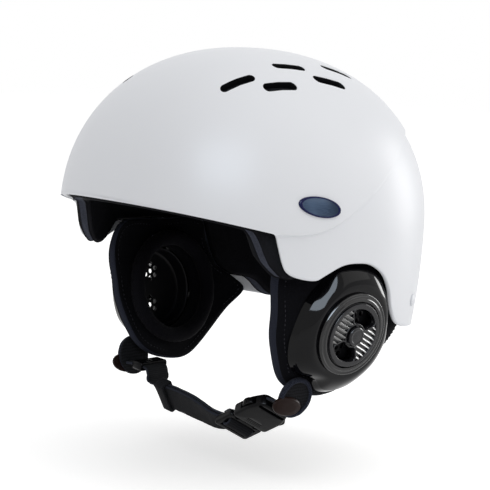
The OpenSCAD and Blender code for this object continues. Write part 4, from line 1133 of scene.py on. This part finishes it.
def tabGrid(side):
    s, profile = tab, softened(tab["profile"], 0.5)
    p = lathe(profile, 120)
    p[..., 2] += s["uneven"] * ripple(p, 7, 4) * (p[..., 2] > 1)
    flat = p[..., :2] * 0.6 + np.array([0, 9.5])
    looks = ((profile[:-1, 0] > s["bound"]) & (profile[:-1, 1] > 1)).astype(int)
    yield atEar(p + s["spot"]), {"caps": "fan", "uv": flat, "looks": looks}
    oval = lathe(softened(s["capProfile"], 0.12), 72) * s["capHalf"] @ rotateAbout("Z", s["capTurn"]).T
    yield atEar(oval + s["spot"] + s["capAt"]), {"caps": "fan", "looks": 2}


print("strap tabs")
sideBySide("StrapTab", tabGrid, "{side}_strap_tab", ["webbing", "tape", "cap"], "webbing", 60)


# ---- chin strap. The line of the long webbing is [share across, share down, roll, rise off the line]
buckle = {"wide": 27.0, "from": 19.5, "long": 28.0, "thick": 8.4, "wall": 1.8, "nose": 11.0, "noseIn": 4.0,
          "frame": 18.0, "ladder": 4.6, "bar": 3.0, "slot": 4.5, "slotHalf": 9.9, "armIn": 5.6, "armOut": 8.6,
          "pad": 29.5, "padLong": 10.0, "padOut": 15.7, "gap": 0.4, "crown": 0.5, "spine": 19,
          "spineHalf": 1.6, "root": 1.9, "rootOut": 7.1, "through": (-9, 9)}
webbing = {"wide": 19.0, "thick": 1.8, "round": 0.75, "rise": 29.5, "roll": 35.0, "wrap": 3.75, "double": 2.2,
           "lay": buckle["ladder"] / 2 + 0.9 + 0.8, "tailTo": 79}
strapY = atEar(tab["spot"])[1]
tabEnd = atEar(np.array([48.0, -26.7, -13.3]))
ladder = np.array([20.5, strapY, -132.5])
riseAngle, rollAngle = np.radians([webbing["rise"], webbing["roll"]])
webRoll = np.degrees(np.arctan(np.tan(rollAngle) / np.cos(riseAngle)))
buckleTurn = rotateAbout("Y", -webbing["rise"]) @ rotateAbout("X", -webbing["roll"])
outer = webbing["lay"] + webbing["double"]
chinPath = [[0, 0, 0, 0], [0.08, -0.02, 0, 0], [0.2, 0.005, 0, 0], [0.232, 0.16, 12, 0], [0.24, 0.36, 32, 0],
            [0.276, 0.52, 50, 0], [0.36, 0.59, 58, 0], [0.5, 0.63, 62, 0], [0.68, 0.71, 60, 0],
            [0.85, 0.85, 50, 1], [0.95, 0.955, webRoll, outer - 1.5], [1, 1, webRoll, outer]]
chinLine = smoothLine([[lerp(-tabEnd[0], ladder[0], along), lerp(tabEnd[2], ladder[2], down), roll, rise]
                       for along, down, roll, rise in chinPath], 16)


def atBuckle(p):
    return p @ buckleTurn.T + ladder


def lineFrames(line):
    # Along, width and thickness directions and the centre at each point of [x, z, roll, rise]
    q = np.zeros((len(line), 3))
    q[1:-1, [0, 2]] = line[2:, :2] - line[:-2, :2]
    q[0, [0, 2]], q[-1, [0, 2]] = line[1, :2] - line[0, :2], line[-1, :2] - line[-2, :2]
    along, roll = unit(q), np.radians(line[:, 2])
    side = np.stack([0 * roll, np.cos(roll), -np.sin(roll)], 1)
    w = unit(side - (side * along).sum(1, keepdims=True) * along)
    return along, w, np.cross(along, w), stacked(line[:, 0], strapY, line[:, 1])


def sweep(at, w, t):
    # Rounded rectangle across the webbing, as [width, thickness], carried along its line
    s, a = webbing, np.radians(np.linspace(0, 90, 5))
    corner = np.stack([s["wide"] / 2 - s["round"] * (1 - np.cos(a)),
                       s["thick"] / 2 - s["round"] * (1 - np.sin(a))], 1)
    top = np.vstack([corner, [[x, s["thick"] / 2] for x in (6, 3, 0, -3, -6)], (corner * [-1, 1])[::-1]])
    section = np.vstack([top, (top * [1, -1])[::-1]])
    p = at[:, None] + w[:, None] * section[None, :, :1] + t[:, None] * section[None, :, 1:]
    uv = stacked(runAlong(at)[:, None], section[None, :, 0] + s["wide"] / 2)
    return p + (0.06 * ripple(p, 5, 6))[..., None] * t[:, None], uv


def chinGrid():
    # Down from the right tab, round the ladder frame's middle bar, and back as the loose end
    s = webbing
    along, w, t, line = lineFrames(chinLine)
    rise = chinLine[:, 3:]
    barX, wrap, lay = 1.5 * buckle["bar"] + buckle["slot"], s["wrap"], s["lay"]
    arc = [[barX + wrap * np.cos(np.radians(a)), -lay * np.sin(np.radians(a))] for a in range(0, 181, 30)]
    path = smoothLine([[0, outer], [barX, outer], [barX + 0.8 * wrap, 0.7 * lay], *arc,
                       [barX - 1.15 * wrap, 0.6 * lay], [1.5, lay], [0, lay]], 8)
    axis, width = buckleTurn[:, 0], buckleTurn[:, 1]
    up = np.cross(axis, width)
    way = unit(np.gradient(path, axis=0))
    wrapAt = ladder + path[:, :1] * axis + path[:, 1:] * up
    wrapT = way[:, :1] * up - way[:, 1:] * axis
    down, round_, back = slice(0, -4), slice(4, -4), slice(-5, s["tailTo"], -1)
    tail = line + t * (rise - s["double"])
    return sweep(np.vstack([(line + t * rise)[down], wrapAt[round_], tail[back]]),
                 np.vstack([w[down], np.broadcast_to(width, wrapT.shape)[round_], w[back]]),
                 np.vstack([t[down], wrapT[round_], -t[back]]))


def shortGrid():
    reach = buckle["from"] + buckle["long"] + buckle["gap"]
    x0, z0 = ladder[0] + reach * np.cos(riseAngle), ladder[2] + reach * np.sin(riseAngle)
    x1, z1 = tabEnd[0], tabEnd[2]
    line = smoothLine([[x0, z0, webRoll, 0], [lerp(x0, x1, 0.35), lerp(z0, z1, 0.5), 24, 0],
                       [lerp(x0, x1, 0.7), lerp(z0, z1, 0.85), 8, 0], [x1, z1, 0, 0]], 14)
    along, w, t, at = lineFrames(line)
    return sweep(at, w, t)


print("chin strap")
# The long webbing lies between its keeper and the ladder frame, and is fixed where it is built
slack = ("chin_strap", "tongue", (-0.031, strapY * mm, -0.122), tuple(ladder * mm))
for name, node, (grid, uv), body in (("chinWebbing", "chin_webbing", chinGrid(), slack),
                                     ("shortWebbing", "short_webbing", shortGrid(), "chin_strap")):
    settle(Skin().grid(grid, caps="face", uv=uv).build(name), body, node, ["webbing"], "webbing")


# ---- buckle: housing, ladder frame with its spine, and two springy prongs
def bevelled(outline, half, edge, steps=5, crown=0.0):
    # Plate of an outline: rows from the middle of one flat side, domed by the crown, round the edge by a
    # quarter circle each way, to the middle of the other. Each row is moved in along the outline's normals
    way = np.roll(outline, -1, 0) - np.roll(outline, 1, 0)
    out = unit(np.stack([way[:, 1], -way[:, 0]], 1))
    out = -out if (outline * out).sum() < 0 else out
    a = np.radians(np.linspace(0, 90, steps))
    rows = [(edge * (1 - np.sin(k)), -half + edge * (1 - np.cos(k))) for k in a]
    rows += [(inset, -z) for inset, z in rows[::-1]]
    first, middle = outline - rows[0][0] * out, outline.mean(0)
    inner = [np.c_[middle + (first - middle) * share, np.full(len(first), -half - crown * (1 - share ** 2))]
             for share in (0.25, 0.6, 0.85)]
    grid = [np.c_[outline - inset * out, np.full(len(outline), z)] for inset, z in rows]
    return np.stack(inner + grid + [g * [1, 1, -1] for g in inner[::-1]])


def rectangle(x0, x1, half, reach):
    return roundedOutline([[x0, -half], [x1, -half], [x1, half], [x0, half]], reach)


def block(lo, hi):
    return prism(np.array([[lo[0], lo[1]], [hi[0], lo[1]], [hi[0], hi[1]], [lo[0], hi[1]]]), (lo[2], hi[2]))


def makeHousing(s):
    end, half = s["from"] + s["long"], s["wide"] / 2
    corners = [[s["from"], -half], [end - s["nose"], -half], [end, s["noseIn"] - half],
               [end, half - s["noseIn"]], [end - s["nose"], half], [s["from"], half]]
    plate = bevelled(evenly(roundedOutline(corners, 3.6), 160, True), s["thick"] / 2, 1.7, 7, s["crown"])
    piece = Skin().grid(atBuckle(plate), caps="fan").build("buckleHousing")
    room, deep = s["armOut"] + 2 * s["gap"], s["thick"] / 2 - s["wall"]
    ridges = [block((s["from"] + 2.2 + 1.5 * k, -5.5, z0), (s["from"] + 2.9 + 1.5 * k, 5.5, z1))
              for k in range(4) for z0, z1 in ((4.3, 9), (-9, -4.3))]
    hollow = block((s["from"] - 1, -room, -deep), (end - 6.0, room, deep))
    windows = block((s["pad"] - 1.4, -27, -deep + 0.01), (end - 6.3, 27, deep - 0.01))
    slot = prism(rectangle(end - 5.6, end - 3, s["slotHalf"], 0.8), s["through"])
    cutTools(piece, [hollow, windows, slot] + ridges, atBuckle)
    settle(crisp(piece, 0.3), "chin_strap", "buckle_housing", ["buckle"], "buckle_plastic")


def makeTongue(s):
    outline = evenly(rectangle(0, s["frame"], s["wide"] / 2 - 0.5, 2.6), 150, True)
    piece = Skin().grid(atBuckle(bevelled(outline, s["ladder"] / 2, 0.9)), caps="fan").build("buckleTongue")
    slots = [prism(rectangle(x, x + s["slot"], s["slotHalf"], 0.7), s["through"])
             for x in (s["bar"], 2 * s["bar"] + s["slot"])]
    round_ = s["root"] * round2(circle(32))
    roots = [prism(round_ + [s["frame"], way * s["rootOut"]], s["through"]) for way in (1, -1)]
    cutTools(piece, slots + roots, atBuckle)
    crisp(piece, 0.3)
    spine = rectangle(s["frame"] - 1, s["frame"] + s["spine"], s["spineHalf"], 0.8)
    combine(piece, Skin().grid(atBuckle(bevelled(spine, 1.8, 0.4)), caps="fan").build("spine"), "UNION")
    settle(shadeByAngle(piece, 40), "tongue", "buckle_tongue", ["buckle"], "buckle_plastic")


def makeProng(s, name, node, body, way):
    # Arm that ends in a thumb pad, with grip ridges across the pad's outer side
    root, pad, end = s["frame"], s["pad"], s["pad"] + s["padLong"]
    inside, outside, tip = s["armIn"], s["armOut"], s["padOut"]
    corners = np.array([[root - 1.2, inside + 0.3], [root, inside], [end - 1, inside], [end, inside + 1.5],
                        [end, tip - 2], [end - 3, tip], [pad + 4, tip], [pad + 1, tip - 1.5],
                        [pad, outside + 1], [pad - 1, outside], [root, outside], [root - 1.2, outside - 0.3]])
    outline = evenly(roundedOutline(corners, 1.2), 150, True) * [1, way]
    piece = Skin().grid(atBuckle(bevelled(outline, 2.0, 0.5)), caps="face").build(name)
    grooves = [block((x, way * tip - 0.55, -3), (x + 0.6, way * tip + 0.55, 3))
               for x in np.arange(pad + 2.6, end - 2, 1.3)]
    cutTools(piece, grooves, atBuckle)
    settle(crisp(piece, 0.15), body, node, ["buckle"], "buckle_plastic")


print("buckle")
makeHousing(buckle)
makeTongue(buckle)
makeProng(buckle, "frontProng", "front_prong", "front_arm", -1)
makeProng(buckle, "rearProng", "rear_prong", "rear_arm", 1)


# ---- slide and keeper on the long webbing, each at a step of its line
loops = {"webGap": 0.4, "wall": 1.6, "edge": 0.5, "slideLong": 9.0, "slideHigh": 2.6, "slideAt": 6,
         "keeperLong": 8.0, "keeperHigh": 5.6, "keeperAt": 24}


def stripPlace(index, rise):
    along, w, t, at = lineFrames(chinLine[::4])
    turned = np.stack([along[index], w[index], t[index]], 1)
    return lambda p: p @ turned.T + at[index] + rise * t[index]


def loopGrid(s, long, high):
    # Rounded rectangular loop round the webbing: rows go round the wall's section, with rounded corners
    wide, wall, edge, far = webbing["wide"] / 2 + s["webGap"], s["wall"], s["edge"], long / 2
    sizes = ((wide, high / 2, 0.6, 5), (wide + wall, high / 2 + wall, 2.2, 9))
    hole, outside = (evenly(roundedOutline([[-x, -y], [x, -y], [x, y], [-x, y]], reach, steps), 120, True)
                     for x, y, reach, steps in sizes)
    r = edge / wall
    quarter = [[0, far - edge], [r * 0.3, far - edge * 0.3], [r, far]]
    half = quarter + [[1 - share, z] for share, z in quarter[::-1]]
    section = np.array([[0, edge - far]] + half + [[share, -z] for share, z in half[:0:-1]])
    line = lerp(hole[None], outside[None], section[:, :1, None])
    return stacked(section[:, 1:], line[..., 0], line[..., 1])


def makeSlide(s):
    place = stripPlace(s["slideAt"], 0)
    piece = Skin().grid(place(loopGrid(s, s["slideLong"], s["slideHigh"])), wrapRows=True).build("strapSlide")
    spots = (-s["slideLong"] / 5, s["slideLong"] / 5)
    cutTools(piece, [block((x - 0.9, -8.5, 0.2), (x + 0.9, 8.5, 6)) for x in spots], place)
    settle(crisp(piece, 0.15), "adjuster", "strap_adjuster", ["buckle"], "buckle_plastic")


def makeKeeper(s):
    grid = stripPlace(s["keeperAt"], -webbing["double"] / 2)(loopGrid(s, s["keeperLong"], s["keeperHigh"]))
    piece = Skin().grid(grid, wrapRows=True, uv=(0.45, 1.0)).build("strapKeeper")
    settle(shadeByAngle(piece, 50), "keeper", "strap_keeper", ["webbing"], "webbing")


print("slide and keeper")
makeSlide(loops)
makeKeeper(loops)


# ---- stage, lights and world. A lamp is its name, place, size, watts, colour and whether it lights the
# object; one that doesn't is a reflector card, which shows in gloss alone
stageLook = {"floor": -0.16, "size": 4, "world": 0.62, "glow": 0.455,
             "lamps": [("key", (1.5, 0.9, 1.5), (2.2, 2.2), 13.4, (1, 0.985, 0.96), True),
                       ("top", (0.1, -0.3, 2.2), (2.4, 2.4), 9.5, (1, 1, 1), True),
                       ("front", (0.71, -1.02, 0.9), (1.2, 0.8), 45.0, (0.76, 0.87, 1), False),
                       ("rear", (0.38, 1.24, 0.2), (0.34, 0.7), 9.0, (1, 1, 1), False)]}


def makeStage(s):
    line = np.linspace(-s["size"], s["size"], 5) / mm
    x, y = np.meshgrid(line, line)
    floor = Skin().grid(stacked(x, y, s["floor"] / mm), wrapCols=False, turn=False).build("floor")
    material, w, shader, place = newMaterial("paleFloor", 0.9, specular=0.1)
    tint = w.blend(w.noise(place["Object"], 3.0, 2, 0.5), (0.88, 0.88, 0.88, 1), (0.92, 0.92, 0.92, 1))
    w.put(shader["Base Color"], tint)
    rays = w.node("LightPath", {}, {})
    seen = w.math("MAXIMUM", rays["Is Camera Ray"], rays["Is Glossy Ray"])
    w.put(shader["Emission Strength"], w.math("MULTIPLY", seen, s["glow"]))
    w.put(shader["Emission Color"], (1, 1, 1, 1))
    floor.data.materials.append(material)
    world = bpy.data.worlds.new("studio")
    bpy.context.scene.world = world
    world.use_nodes = True
    w = Wires(world.node_tree)
    back = world.node_tree.nodes["Background"].inputs
    rays = w.node("LightPath", {}, {})
    mirror = w.math("MAXIMUM", rays["Is Glossy Ray"], rays["Is Transmission Ray"])
    seen = w.math("MAXIMUM", rays["Is Camera Ray"], mirror)
    w.put(back["Color"], (1, 1, 1, 1))
    w.put(back["Strength"], w.span(seen, 0, 1, s["world"], 1.0))
    for name, spot, size, watts, colour, lights in s["lamps"]:
        data = bpy.data.lights.new(name, "AREA")
        data.shape, data.energy, data.color = "RECTANGLE", watts, colour
        data.size, data.size_y = size
        lamp = bpy.data.objects.new(name, data)
        lamp.visible_camera, lamp.visible_diffuse = False, lights
        bpy.context.collection.objects.link(lamp)
        lamp.location = spot
        lamp.rotation_euler = (-Vector(spot)).to_track_quat("-Z", "Y").to_euler()


print("stage")
makeStage(stageLook)
bpy.context.scene.view_settings.view_transform = "Standard"
